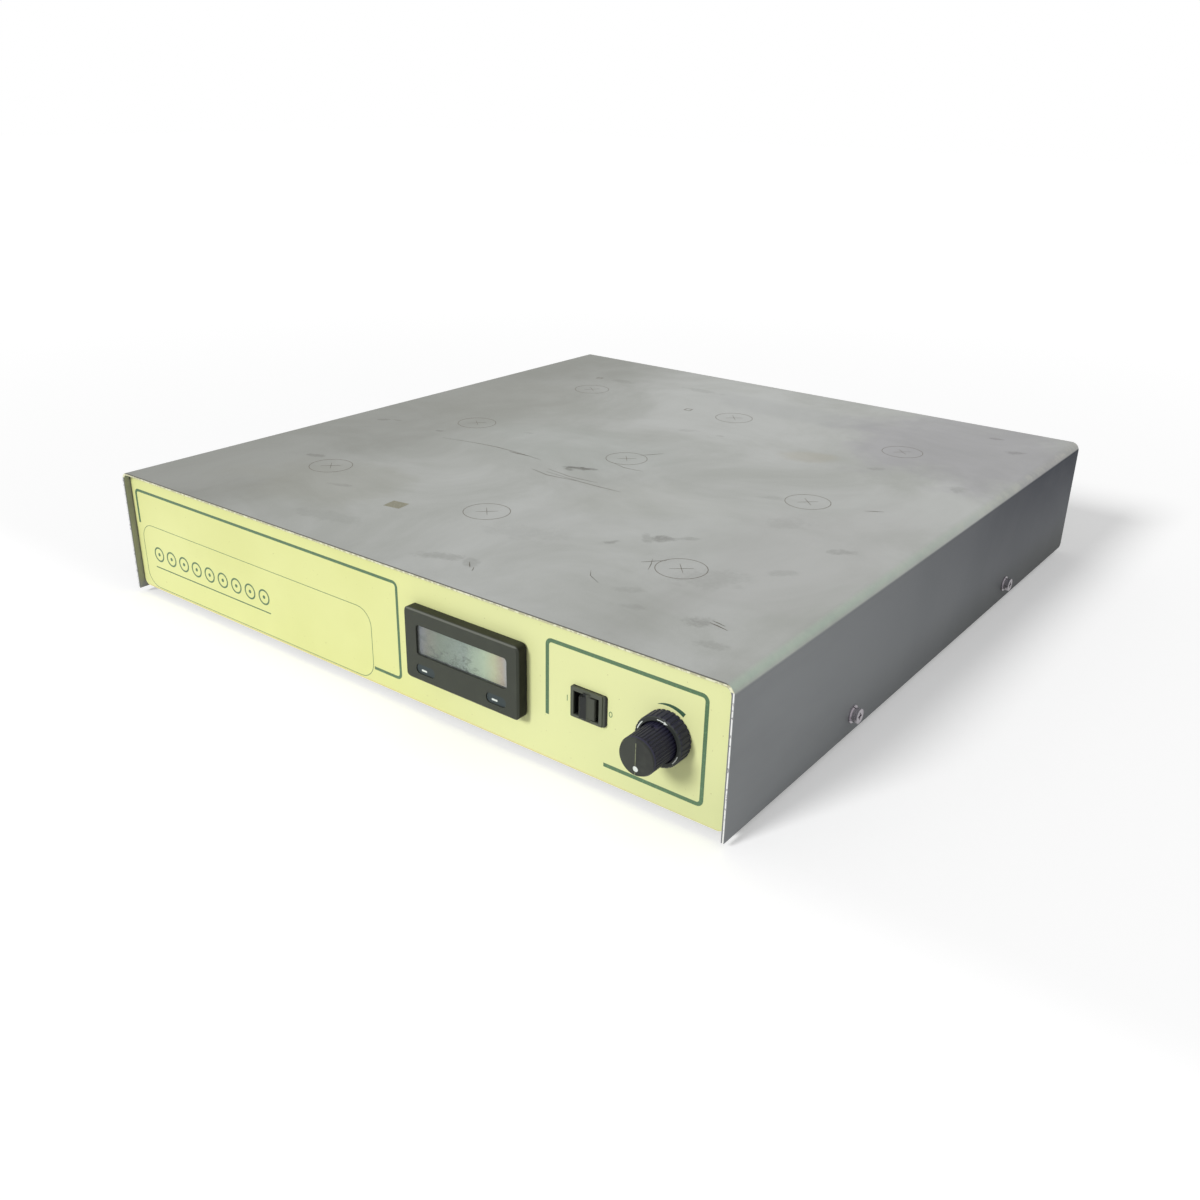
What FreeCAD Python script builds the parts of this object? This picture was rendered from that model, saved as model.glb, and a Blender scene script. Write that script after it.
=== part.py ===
import FreeCAD, Part
import math
import os
import re

import Sketcher

Vector = FreeCAD.Vector
Rotation = FreeCAD.Rotation

# Nine-position magnetic stirrer, millimetres. +Z is up, the panel faces -Y.
# The origin is on the table under the middle of the whole object, knob included.

# Driving sizes, each a plain number in the sheet.
SIZES = {
    # folded cover
    "cover_width": 431.8,
    "cover_depth": 457.2,
    "cover_height": 76.2,
    "cover_sheet": 1.5,
    "cover_bend": 4.0,
    "flange_corner": 3.0,
    "floor_gap": 3.0,
    # tray under the cover
    "side_gap": 0.4,
    "tray_drop": 2.0,
    "tray_sheet": 1.5,
    "tray_bend": 1.0,
    "side_flange": 24.0,
    "side_flange_setback": 9.0,
    "return_flange": 13.0,
    "corner_ease": 0.5,
    "panel_recess": 4.0,
    "rear_recess": 4.0,
    "overlay_sheet": 0.5,
    "overlay_top_gap": 0.4,
    # cover screws
    "screw_spacing": 216.0,
    "screw_height": 13.7,
    "screw_radius": 2.0,
    "screw_head_radius": 3.9,
    "screw_head_height": 2.4,
    "screw_hole_gap": 0.25,
    "flat_washer_radius": 4.8,
    "flat_washer_sheet": 0.8,
    "lock_washer_radius": 3.7,
    "lock_washer_sheet": 1.0,
    "lock_washer_split": 0.8,
    "nut_radius": 4.0,
    "nut_height": 3.0,
    # feet
    "foot_edge_x": 35.9,
    "foot_edge_y": 28.6,
    "foot_radius": 10.0,
    "foot_taper": 1.0,
    "foot_well_radius": 5.0,
    "foot_well_depth": 3.0,
    "foot_screw_radius": 1.5,
    "foot_head_radius": 2.9,
    "foot_head_height": 1.8,
    # stirring grid
    "pitch_x": 130.4,
    "pitch_y": 132.7,
    "grid_shift": -6.25,
    # drive deck
    "deck_height": 44.5,
    "deck_sheet": 3.0,
    "deck_margin_x": 42.0,
    "deck_front_gap": 15.65,
    "deck_rear_gap": 58.65,
    "standoff_radius": 5.0,
    "standoff_edge": 10.0,
    "deck_screw_radius": 1.5,
    "deck_head_radius": 2.8,
    "deck_head_height": 1.7,
    # spindles and rotors
    "post_radius": 4.0,
    "post_collar_radius": 8.0,
    "post_collar_height": 2.0,
    "thrust_washer_radius": 7.0,
    "thrust_washer_sheet": 0.6,
    "running_gap": 0.05,
    "axial_play": 0.1,
    "flange_radius": 23.0,
    "flange_sheet": 1.5,
    "drum_radius": 20.0,
    "belt_seat": 7.0,
    "carrier_radius": 32.0,
    "carrier_height": 10.0,
    "carrier_web": 5.0,
    "hub_recess_radius": 9.0,
    "magnet_radius": 7.0,
    "magnet_height": 7.5,
    "magnet_offset": 20.0,
    "clip_radius": 6.5,
    "clip_sheet": 1.0,
    "clip_gap": 0.3,
    "post_tip": 1.5,
    # belts and motor
    "belt_sheet": 1.2,
    "belt_height": 5.5,
    "belt_gap": 0.3,
    "motor_x": 98.0,
    "motor_y": 28.0,
    "motor_radius": 30.0,
    "motor_height": 27.0,
    "motor_boss_radius": 11.0,
    "motor_boss_height": 2.0,
    "motor_shaft_radius": 3.0,
    "motor_shaft_depth": 20.0,
    "motor_pulley_radius": 12.0,
    "motor_pulley_flange": 15.0,
    "motor_screw_circle": 22.0,
    # meter
    "meter_spacing": 74.3,
    "meter_z": 42.3,
    "bezel_rim_x": 3.7,
    "bezel_rim_z": 3.2,
    "bezel_depth": 6.2,
    "bezel_corner": 3.0,
    "bezel_chamfer": 1.0,
    "gasket_sheet": 0.8,
    "gasket_inset": 0.6,
    "meter_body_width": 67.6,
    "meter_body_height": 32.6,
    "meter_body_depth": 30.0,
    "cutout_gap": 0.2,
    "window_width": 59.5,
    "window_height": 16.5,
    "window_dx": 0.7,
    "window_dz": 3.4,
    "window_corner": 2.0,
    "lens_depth": 1.2,
    "lens_sheet": 1.0,
    "lcd_sheet": 1.0,
    "button_width": 12.3,
    "button_height": 5.0,
    "button_corner": 2.2,
    "button_spacing": 46.9,
    "button_drop": 12.5,
    "button_set": 0.5,
    "button_sheet": 2.4,
    "button_travel": 0.8,
    "button_gap": 0.2,
    "meter_clip_sheet": 2.0,
    "meter_clip_rim": 5.0,
    # power switch
    "switch_spacing": 42.5,
    "switch_z": 42.0,
    "switch_width": 20.0,
    "switch_height": 15.6,
    "switch_corner": 1.2,
    "switch_rim": 2.0,
    "switch_step": 0.5,
    "switch_bevel": 1.7,
    "switch_body_width": 16.8,
    "switch_body_height": 14.3,
    "switch_body_depth": 18.0,
    "opening_dx": -0.7,
    "opening_dz": -0.35,
    "switch_opening_width": 14.4,
    "switch_opening_height": 12.15,
    "switch_opening_depth": 12.0,
    "rocker_dx": -0.35,
    "rocker_pivot_depth": 2.65,
    "rocker_half": 4.1,
    "rocker_end": 4.0,
    "rocker_dip": 3.15,
    "rocker_lip": 0.5,
    "rocker_flare": 0.3,
    "rocker_side_gap": 0.7,
    "rocker_back": 5.0,
    "rocker_tail": 3.2,
    "rocker_angle": 15.0,
    "rocker_hub_radius": 3.4,
    "rocker_hub_reach": 0.8,
    "tab_width": 4.8,
    "tab_length": 8.0,
    "tab_sheet": 0.8,
    "tab_pitch": 7.0,
    # speed control
    "knob_edge": 33.6,
    "knob_z": 42.4,
    "knob_height": 24.0,
    "knob_radius": 9.25,
    "knob_bevel": 0.8,
    "knob_band": 1.8,
    "knob_slope": 0.5,
    "knob_ridge_top": 7.1,
    "flute_count": 36,
    "flute_radius": 0.55,
    "dimple_radius": 1.45,
    "dimple_depth": 0.4,
    "dimple_drop": 5.6,
    "ring_radius": 12.3,
    "ring_height": 8.0,
    "ring_chamfer": 0.7,
    "ring_wall_gap": 0.3,
    "ring_mouth_radius": 10.1,
    "ring_mouth_depth": 2.6,
    "rib_count": 30,
    "rib_radius": 0.6,
    "base_flange_radius": 10.6,
    "base_flange_sheet": 1.0,
    "base_sleeve_radius": 9.6,
    "base_sleeve_wall": 1.2,
    "base_sleeve_height": 4.6,
    "pot_nut_flats": 12.7,
    "pot_nut_height": 2.0,
    "bushing_radius": 4.7,
    "bushing_reach": 4.8,
    "knob_back_gap": 0.4,
    "pot_radius": 12.0,
    "pot_depth": 12.0,
    "pot_shaft_radius": 3.175,
    "pot_shaft_grip": 12.0,
    "set_screw_radius": 1.5,
    "set_screw_length": 4.5,
    "set_screw_place": 10.8,
    # mains inlet at the back
    "inlet_edge": 75.9,
    "inlet_z": 42.0,
    "inlet_width": 50.0,
    "inlet_height": 38.0,
    "inlet_flange": 3.0,
    "inlet_corner": 2.0,
    "inlet_body_width": 30.0,
    "inlet_body_height": 34.0,
    "inlet_body_depth": 24.0,
    "socket_width": 24.2,
    "socket_height": 16.4,
    "socket_depth": 17.0,
    "socket_rise": 6.5,
    "socket_chamfer": 4.0,
    "pin_width": 4.0,
    "pin_sheet": 2.0,
    "pin_reach": 10.5,
    "pin_pitch": 7.0,
    "earth_rise": 3.5,
    "phase_drop": 2.5,
    "drawer_width": 22.0,
    "drawer_height": 9.0,
    "drawer_depth": 22.0,
    "drawer_drop": 10.5,
    "drawer_gap": 0.2,
    "drawer_lip": 1.0,
    "drawer_wall": 1.2,
    "fuse_radius": 2.6,
    "fuse_length": 19.0,
    "inlet_screw_spacing": 40.0,
    "inlet_screw_radius": 1.5,
    "inlet_head_radius": 2.8,
    "inlet_head_height": 0.9,
    # rear and bottom vents
    "vent_width": 4.0,
    "vent_height": 32.0,
    "vent_pitch": 9.0,
    "vent_count": 12,
    "vent_start": 40.0,
    # electronics
    "board_gap": 10.0,
    "board_y": 60.0,
    "board_width": 100.0,
    "board_depth": 80.0,
    "board_sheet": 1.6,
    "board_lift": 6.0,
    "board_post_radius": 3.0,
    "board_post_edge": 5.0,
    "sink_width": 40.0,
    "sink_depth": 12.0,
    "sink_height": 18.0,
    "sink_fin": 1.5,
    "sink_fins": 6,
    "sink_base": 3.0,
    "can_radius": 6.0,
    "can_height": 16.0,
    "can_pitch": 15.0,
    "header_width": 20.0,
    "header_depth": 8.0,
    "header_height": 9.0,
    "supply_edge": 65.9,
    "supply_width": 60.0,
    "supply_depth": 100.0,
    "supply_height": 30.0,
    "supply_y": 60.0,
    "sensor_width": 6.0,
    "sensor_depth": 8.0,
    "sensor_gap": 1.0,
    # wiring looms
    "loom_lift": 1.0,
    "mains_loom_radius": 3.0,
    "signal_loom_radius": 1.8,
}

# Places worked out from the sizes above.
PLACES = {
    "mid_y": "(knob_height - panel_recess) / 2",
    "front_edge": "mid_y - cover_depth / 2",
    "rear_edge": "mid_y + cover_depth / 2",
    "cover_half": "cover_width / 2",
    "cover_top": "floor_gap + cover_height",
    "tray_top": "cover_top - cover_sheet",
    "tray_bottom": "floor_gap + tray_drop",
    "tray_floor": "tray_bottom + tray_sheet",
    "tray_half": "cover_half - cover_sheet - side_gap",
    "panel_corner": "cover_bend + corner_ease",
    "panel_face": "front_edge + panel_recess",
    "wall_face": "panel_face + overlay_sheet",
    "wall_back": "wall_face + tray_sheet",
    "rear_face": "rear_edge - rear_recess",
    "rear_inside": "rear_face - tray_sheet",
    "foot_spacing_x": "cover_width - 2 * foot_edge_x",
    "foot_spacing_y": "cover_depth - 2 * foot_edge_y",
    "grid_y": "mid_y + grid_shift",
    "deck_top": "deck_height + deck_sheet",
    "deck_half_x": "pitch_x + deck_margin_x",
    "deck_front": "wall_back + meter_body_depth + deck_front_gap",
    "deck_rear": "rear_inside - deck_rear_gap",
    "standoff_x": "deck_half_x - standoff_edge",
    "standoff_mid_y": "(deck_front + deck_rear) / 2",
    "standoff_y": "(deck_rear - deck_front) / 2 - standoff_edge",
    "rotor_bottom": "deck_top + post_collar_height + thrust_washer_sheet + axial_play",
    "carrier_bottom": "flange_sheet + 2 * belt_seat",
    "rotor_height": "carrier_bottom + carrier_height",
    "hub_top": "rotor_height - carrier_web",
    "clip_bottom": "rotor_bottom + hub_top + clip_gap",
    "clip_top": "clip_bottom + clip_sheet",
    "bore_radius": "post_radius + running_gap",
    "knob_x": "cover_half - knob_edge",
    "switch_x": "knob_x - switch_spacing",
    "meter_x": "switch_x - meter_spacing",
    "inlet_x": "inlet_edge - cover_half",
    "supply_x": "supply_edge - cover_half",
    "board_x": "supply_x + supply_width / 2 + board_gap + board_width / 2",
    "bezel_width": "meter_body_width + 2 * bezel_rim_x",
    "bezel_height": "meter_body_height + 2 * bezel_rim_z",
    "bezel_back": "panel_face - gasket_sheet",
    "bezel_front": "bezel_back - bezel_depth",
    "window_x": "meter_x + window_dx",
    "window_z": "meter_z + window_dz",
    "lens_front": "bezel_front + lens_depth",
    "lens_back": "lens_front + lens_sheet",
    "lcd_back": "lens_back + lcd_sheet",
    "button_z": "meter_z - button_drop",
    "button_front": "bezel_front + button_set",
    "button_back": "button_front + button_sheet",
    "well_floor": "button_back + button_travel + button_gap",
    "rim_front": "panel_face - switch_rim",
    "pivot_y": "rim_front + rocker_pivot_depth",
    "switch_back": "wall_back + switch_body_depth",
    "opening_x": "switch_x + opening_dx",
    "opening_z": "switch_z + opening_dz",
    "rocker_x": "switch_x + rocker_dx",
    "knob_front": "panel_face - knob_height",
    "bushing_end": "panel_face - bushing_reach",
    "knob_back": "bushing_end - knob_back_gap",
    "shaft_tip": "knob_back - pot_shaft_grip",
    "ring_front": "panel_face - ring_height",
    "ring_back": "panel_face - ring_wall_gap",
    "base_front": "panel_face - base_flange_sheet",
    "inlet_front": "rear_face + inlet_flange",
    "inlet_back": "rear_face - inlet_body_depth",
    "socket_z": "inlet_z + socket_rise",
    "socket_floor": "inlet_front - socket_depth",
    "drawer_z": "inlet_z - drawer_drop",
    "nut_outer": "cover_sheet + side_gap + tray_sheet",
    "nut_inner": "nut_outer + nut_height",
    "washers": "flat_washer_sheet + lock_washer_sheet",
    "board_mid_y": "mid_y + board_y",
    "header_x": "board_x + board_width / 2 - board_post_edge - header_depth",
    "loom_floor": "tray_floor + mains_loom_radius + loom_lift",
    "board_bottom": "tray_floor + board_lift",
    "board_top": "board_bottom + board_sheet",
}

WORD = re.compile(r"[a-z][a-z0-9_]*")
AXIS_TURN = {
    "x": Rotation(Vector(0, 1, 0), 90),
    "y": Rotation(Vector(1, 0, 0), -90),
    "z": Rotation(),
}
ROUNDED_SHARE = 0.45  # how much of a loom's straight run each rounded corner may take

# Ways of the looms: from, to, and the stations between them as shares of the way.
MAINS_ROUTES = [
    ("inlet", "supply_back", [(0, 0.201, 1), (0.333, 0.467, 0.662), (1, 0.746, 0.30986)]),
    (
        "supply_front",
        "switch",
        [
            (0, 0.126, 0.35313),
            (0.028, 0.339, 0.047),
            (0.134, 0.581, 0),
            (0.325, 0.745, 0),
            (0.53, 0.813, 0.016),
            (0.728, 0.828, 0),
            (0.884, 0.842, 0.204),
            (0.972, 0.876, 0.708),
            (1, 0.934, 1),
        ],
    ),
]
SIGNAL_ROUTES = [
    ("header_side", "motor", [(0.172, 0, 0.3951), (0.494, 0.375, 0.463), (0.782, 1, 1)]),
    (
        "header_left",
        "meter",
        [
            (0, 0.074, 0.2547),
            (0.077, 0.214, 0.11),
            (0.276, 0.404, 0),
            (0.564, 0.618, 0.016),
            (0.785, 0.783, 0.204),
            (0.961, 0.89, 0.708),
            (1, 0.944, 1),
        ],
    ),
    (
        "header_right",
        "dial",
        [
            (0, 0.061, 0.2539),
            (0.064, 0.184, 0.125),
            (0.212, 0.345, 0),
            (0.418, 0.507, 0.016),
            (0.654, 0.629, 0.016),
            (0.851, 0.706, 0.141),
            (0.969, 0.79, 0.549),
            (1, 0.929, 1),
        ],
    ),
]
FAULTS = ("Invalid", "Error")
NEAR = 0.001  # how close two places count as the same

doc = FreeCAD.newDocument("magnetic_stirrer")
sheet = doc.addObject("Spreadsheet::Sheet", "Sizes")
nodes = []


def fill_sheet():
    """Write the driving sizes into the sheet, one row each."""
    for row, (name, value) in enumerate(SIZES.items(), start=1):
        sheet.set(f"A{row}", name)
        sheet.set(f"B{row}", str(value))
        sheet.setAlias(f"B{row}", name)
    doc.recompute()


def size(name):
    """The number that the sheet holds for a size."""
    return float(sheet.get(name))


def sized(text):
    """An expression on the sheet, with every place written out."""

    def swap(match):
        word = match.group()
        if word in PLACES:
            return "(" + sized(PLACES[word]) + ")"
        return "Sizes." + word if word in SIZES else word

    return WORD.sub(swap, str(text))


def span(ends):
    """The distance between two places."""
    return f"({ends[1]}) - ({ends[0]})"


def about(middle, width):
    """The two ends of a width about a middle."""
    return (f"{middle} - ({width}) / 2", f"{middle} + ({width}) / 2")


def add(kind, name, **sizes):
    """A new object with its sizes tied to the sheet."""
    piece = doc.addObject(kind, name)
    for prop, text in sizes.items():
        piece.setExpression(prop, sized(text))
    return piece


def put(piece, x=0, y=0, z=0, turn=Rotation()):
    """Place an object, with its position tied to the sheet."""
    piece.Placement = FreeCAD.Placement(Vector(), turn)
    for axis, text in zip("xyz", (x, y, z)):
        piece.setExpression(".Placement.Base." + axis, sized(text))
    return piece


def keep(piece):
    """Note an object as a finished sub-part, named by its label."""
    nodes.append(piece)
    return piece


def block(name, x, y, z):
    """A box between two places along each axis."""
    box = add("Part::Box", name, Length=span(x), Width=span(y), Height=span(z))
    return put(box, x[0], y[0], z[0])


def rod(name, radius, along, ends, x=0, y=0, z=0):
    """A round bar along one axis."""
    bar = add("Part::Cylinder", name, Radius=radius, Height=span(ends))
    start = {"x": x, "y": y, "z": z, along: ends[0]}
    return put(bar, start["x"], start["y"], start["z"], AXIS_TURN[along])


def fuse(name, *pieces):
    """Pieces joined into one."""
    joined = doc.addObject("Part::MultiFuse", name)
    joined.Shapes = list(pieces)
    joined.Refine = True
    return joined


def cut(name, base, *tools):
    """A piece with one or more others taken out of it."""
    left = doc.addObject("Part::Cut", name)
    left.Base = base
    left.Tool = tools[0] if len(tools) == 1 else fuse(name + "_openings", *tools)
    left.Refine = True
    return left


def tube(name, outer, inner, along, ends, x=0, y=0, z=0):
    """A round bar with a bore right through it."""
    wall = rod(name + "_wall", outer, along, ends, x, y, z)
    bore = rod(name + "_bore", inner, along, ends, x, y, z)
    return cut(name, wall, bore)


def group(name, pieces):
    """Separate solids that share one node."""
    several = doc.addObject("Part::Compound", name)
    several.Links = list(pieces)
    return several


def copy_at(name, piece, x=0, y=0, z=0, turn=Rotation()):
    """The same solid again in another place."""
    again = doc.addObject("App::Link", name)
    again.LinkedObject = piece
    again.LinkTransform = False
    return put(again, x, y, z, turn)


def copies(name, piece, places):
    """A group of one solid repeated at several places."""
    return group(name, [copy_at(f"{name}_{i}", piece, *place) for i, place in enumerate(places, start=1)])


def new_body(name):
    """An empty body, for a piece built up from sketches."""
    return doc.addObject("PartDesign::Body", name)


def origin_part(body, role):
    """One of the body's own planes or axes."""
    return next(feature for feature in body.Origin.OriginFeatures if feature.Role == role)


def sketch_on(body, name, plane, lift="0"):
    """An empty sketch on one of the body's planes, lifted along its normal."""
    flat = body.newObject("Sketcher::SketchObject", name)
    flat.AttachmentSupport = (origin_part(body, plane), [""])
    flat.MapMode = "FlatFace"
    flat.setExpression(".AttachmentOffset.Base.z", sized(lift))
    return flat


def hold(flat, kind, where, value, text):
    """One dimension of a sketch, tied to the sheet."""
    number = flat.addConstraint(Sketcher.Constraint(kind, *where, value))
    flat.setExpression(f"Constraints[{number}]", sized(text))


def outline(flat, points):
    """A closed outline of straight edges, each corner tied to the sheet."""
    count = len(points)
    first = flat.GeometryCount
    turns = [2 * math.pi * i / count for i in range(count)]
    start = [Vector(math.cos(turn), math.sin(turn), 0) for turn in turns]
    for i in range(count):
        flat.addGeometry(Part.LineSegment(start[i], start[(i + 1) % count]), False)
    for i in range(count):
        flat.addConstraint(Sketcher.Constraint("Coincident", first + i, 2, first + (i + 1) % count, 1))
    for i, (across, up) in enumerate(points):
        hold(flat, "DistanceX", (-1, 1, first + i, 1), start[i].x, across)
        hold(flat, "DistanceY", (-1, 1, first + i, 1), start[i].y, up)


def oblong(flat, across, up):
    """A rectangle between two places each way."""
    outline(flat, [(across[0], up[0]), (across[1], up[0]), (across[1], up[1]), (across[0], up[1])])


def circle(flat, across, up, radius):
    """A circle with its centre and radius tied to the sheet."""
    number = flat.addGeometry(Part.Circle(Vector(1, 1, 0), Vector(0, 0, 1), 1), False)
    hold(flat, "DistanceX", (-1, 1, number, 3), 1, across)
    hold(flat, "DistanceY", (-1, 1, number, 3), 1, up)
    hold(flat, "Radius", (number,), 1, radius)


def grow(body, kind, flat, length, both_ways=False, backwards=False):
    """A pad or pocket of a sketch."""
    feature = body.newObject("PartDesign::" + kind, flat.Name + "_" + kind.lower())
    feature.Profile = flat
    feature.setExpression("Length", sized(length))
    feature.SideType = "Symmetric" if both_ways else "One side"
    feature.Reversed = backwards
    body.Tip = feature
    return feature


def revolve(body, flat):
    """A turned piece: the sketch spun about its own upright axis."""
    feature = body.newObject("PartDesign::Revolution", flat.Name + "_turned")
    feature.Profile = flat
    feature.ReferenceAxis = (flat, ["V_Axis"])
    feature.Angle = 360
    body.Tip = feature
    return feature


def edges_where(shape, test):
    """Names of the edges whose two ends pass a test."""
    return [f"Edge{i}" for i, edge in enumerate(shape.Edges, start=1) if test(edge)]


def runs_along(edge, direction):
    """Whether an edge is straight along a direction."""
    if edge.Curve.TypeId != "Part::GeomLine":
        return False
    return edge.Curve.Direction.cross(direction).Length < NEAR


def soften(body, kind, name, amount, test):
    """Round or chamfer the edges of the body's last feature that pass a test."""
    doc.recompute()
    base = body.Tip
    feature = body.newObject("PartDesign::" + kind, name)
    feature.Base = (base, edges_where(base.Shape, test))
    feature.setExpression("Radius" if kind == "Fillet" else "Size", sized(amount))
    body.Tip = feature
    return feature


def plate(name, plane, across, up, lift, thick, corner=None):
    """A flat plate on a plane, with its corners rounded."""
    body = new_body(name)
    flat = sketch_on(body, name + "_outline", plane, lift)
    oblong(flat, across, up)
    grow(body, "Pad", flat, thick)
    if corner:
        normal = {"XZ_Plane": Vector(0, 1, 0), "XY_Plane": Vector(0, 0, 1)}[plane]
        soften(body, "Fillet", name + "_corners", corner, lambda edge: runs_along(edge, normal))
    return body


def upright_plate(name, x, y, z, corner=None):
    """A plate facing the front, between two places along each axis."""
    return plate(name, "XZ_Plane", x, z, f"-({y[1]})", span(y), corner)


def side_signs():
    """The left and the right side."""
    return (-1, 1)


def grid_places():
    """The nine stirring places, front row first, left to right."""
    return [(f"{col} * pitch_x", f"grid_y + {row} * pitch_y") for row in (-1, 0, 1) for col in (-1, 0, 1)]


def screw(name, shank_radius, shank_length, head_radius, head_height):
    """A pan-head screw pointing down, its head resting on the plane z = 0."""
    shank = rod(name + "_shank", shank_radius, "z", (f"-({shank_length})", 0))
    head = rod(name + "_head", head_radius, "z", (0, head_height))
    wide = about(0, head_radius)
    narrow = about(0, head_radius + " / 4")
    deep = (head_height + " / 2", head_height)
    recess = fuse(
        name + "_cross",
        block(name + "_cross_a", wide, narrow, deep),
        block(name + "_cross_b", narrow, wide, deep),
    )
    return cut(name, fuse(name + "_blank", shank, head), recess)


def make_cover():
    """Stainless cover: one sheet folded down along both sides."""
    body = new_body("top_cover")
    profile = sketch_on(body, "cover_profile", "XZ_Plane", "-mid_y")
    inner = "(cover_half - cover_sheet)"
    outline(
        profile,
        [
            ("-cover_half", "floor_gap"),
            ("-cover_half", "cover_top"),
            ("cover_half", "cover_top"),
            ("cover_half", "floor_gap"),
            (inner, "floor_gap"),
            (inner, "tray_top"),
            (f"-{inner}", "tray_top"),
            (f"-{inner}", "floor_gap"),
        ],
    )
    fold = grow(body, "Pad", profile, "cover_depth", both_ways=True)
    doc.recompute()
    box = fold.Shape.BoundBox
    sheet_size = size("cover_sheet")
    along = Vector(0, 1, 0)
    soften(
        body,
        "Fillet",
        "outer_bends",
        "cover_bend + cover_sheet",
        lambda edge: runs_along(edge, along) and edge.CenterOfMass.z > box.ZMax - sheet_size / 2,
    )
    soften(
        body,
        "Fillet",
        "inner_bends",
        "cover_bend",
        lambda edge: runs_along(edge, along)
        and abs(edge.CenterOfMass.z - box.ZMax + sheet_size) < sheet_size / 2
        and abs(edge.CenterOfMass.x) > box.XMax - 1.5 * sheet_size,
    )
    soften(
        body,
        "Fillet",
        "flange_corners",
        "flange_corner",
        lambda edge: runs_along(edge, Vector(1, 0, 0))
        and edge.CenterOfMass.z < box.ZMin + sheet_size
        and edge.CenterOfMass.y > box.YMax - sheet_size,
    )
    holes = sketch_on(body, "cover_screw_holes", "YZ_Plane")
    for sign in side_signs():
        circle(holes, f"mid_y + {sign} * screw_spacing / 2", "screw_height", "screw_radius + screw_hole_gap")
    grow(body, "Pocket", holes, "2 * cover_width", both_ways=True)
    keep(body)


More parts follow.
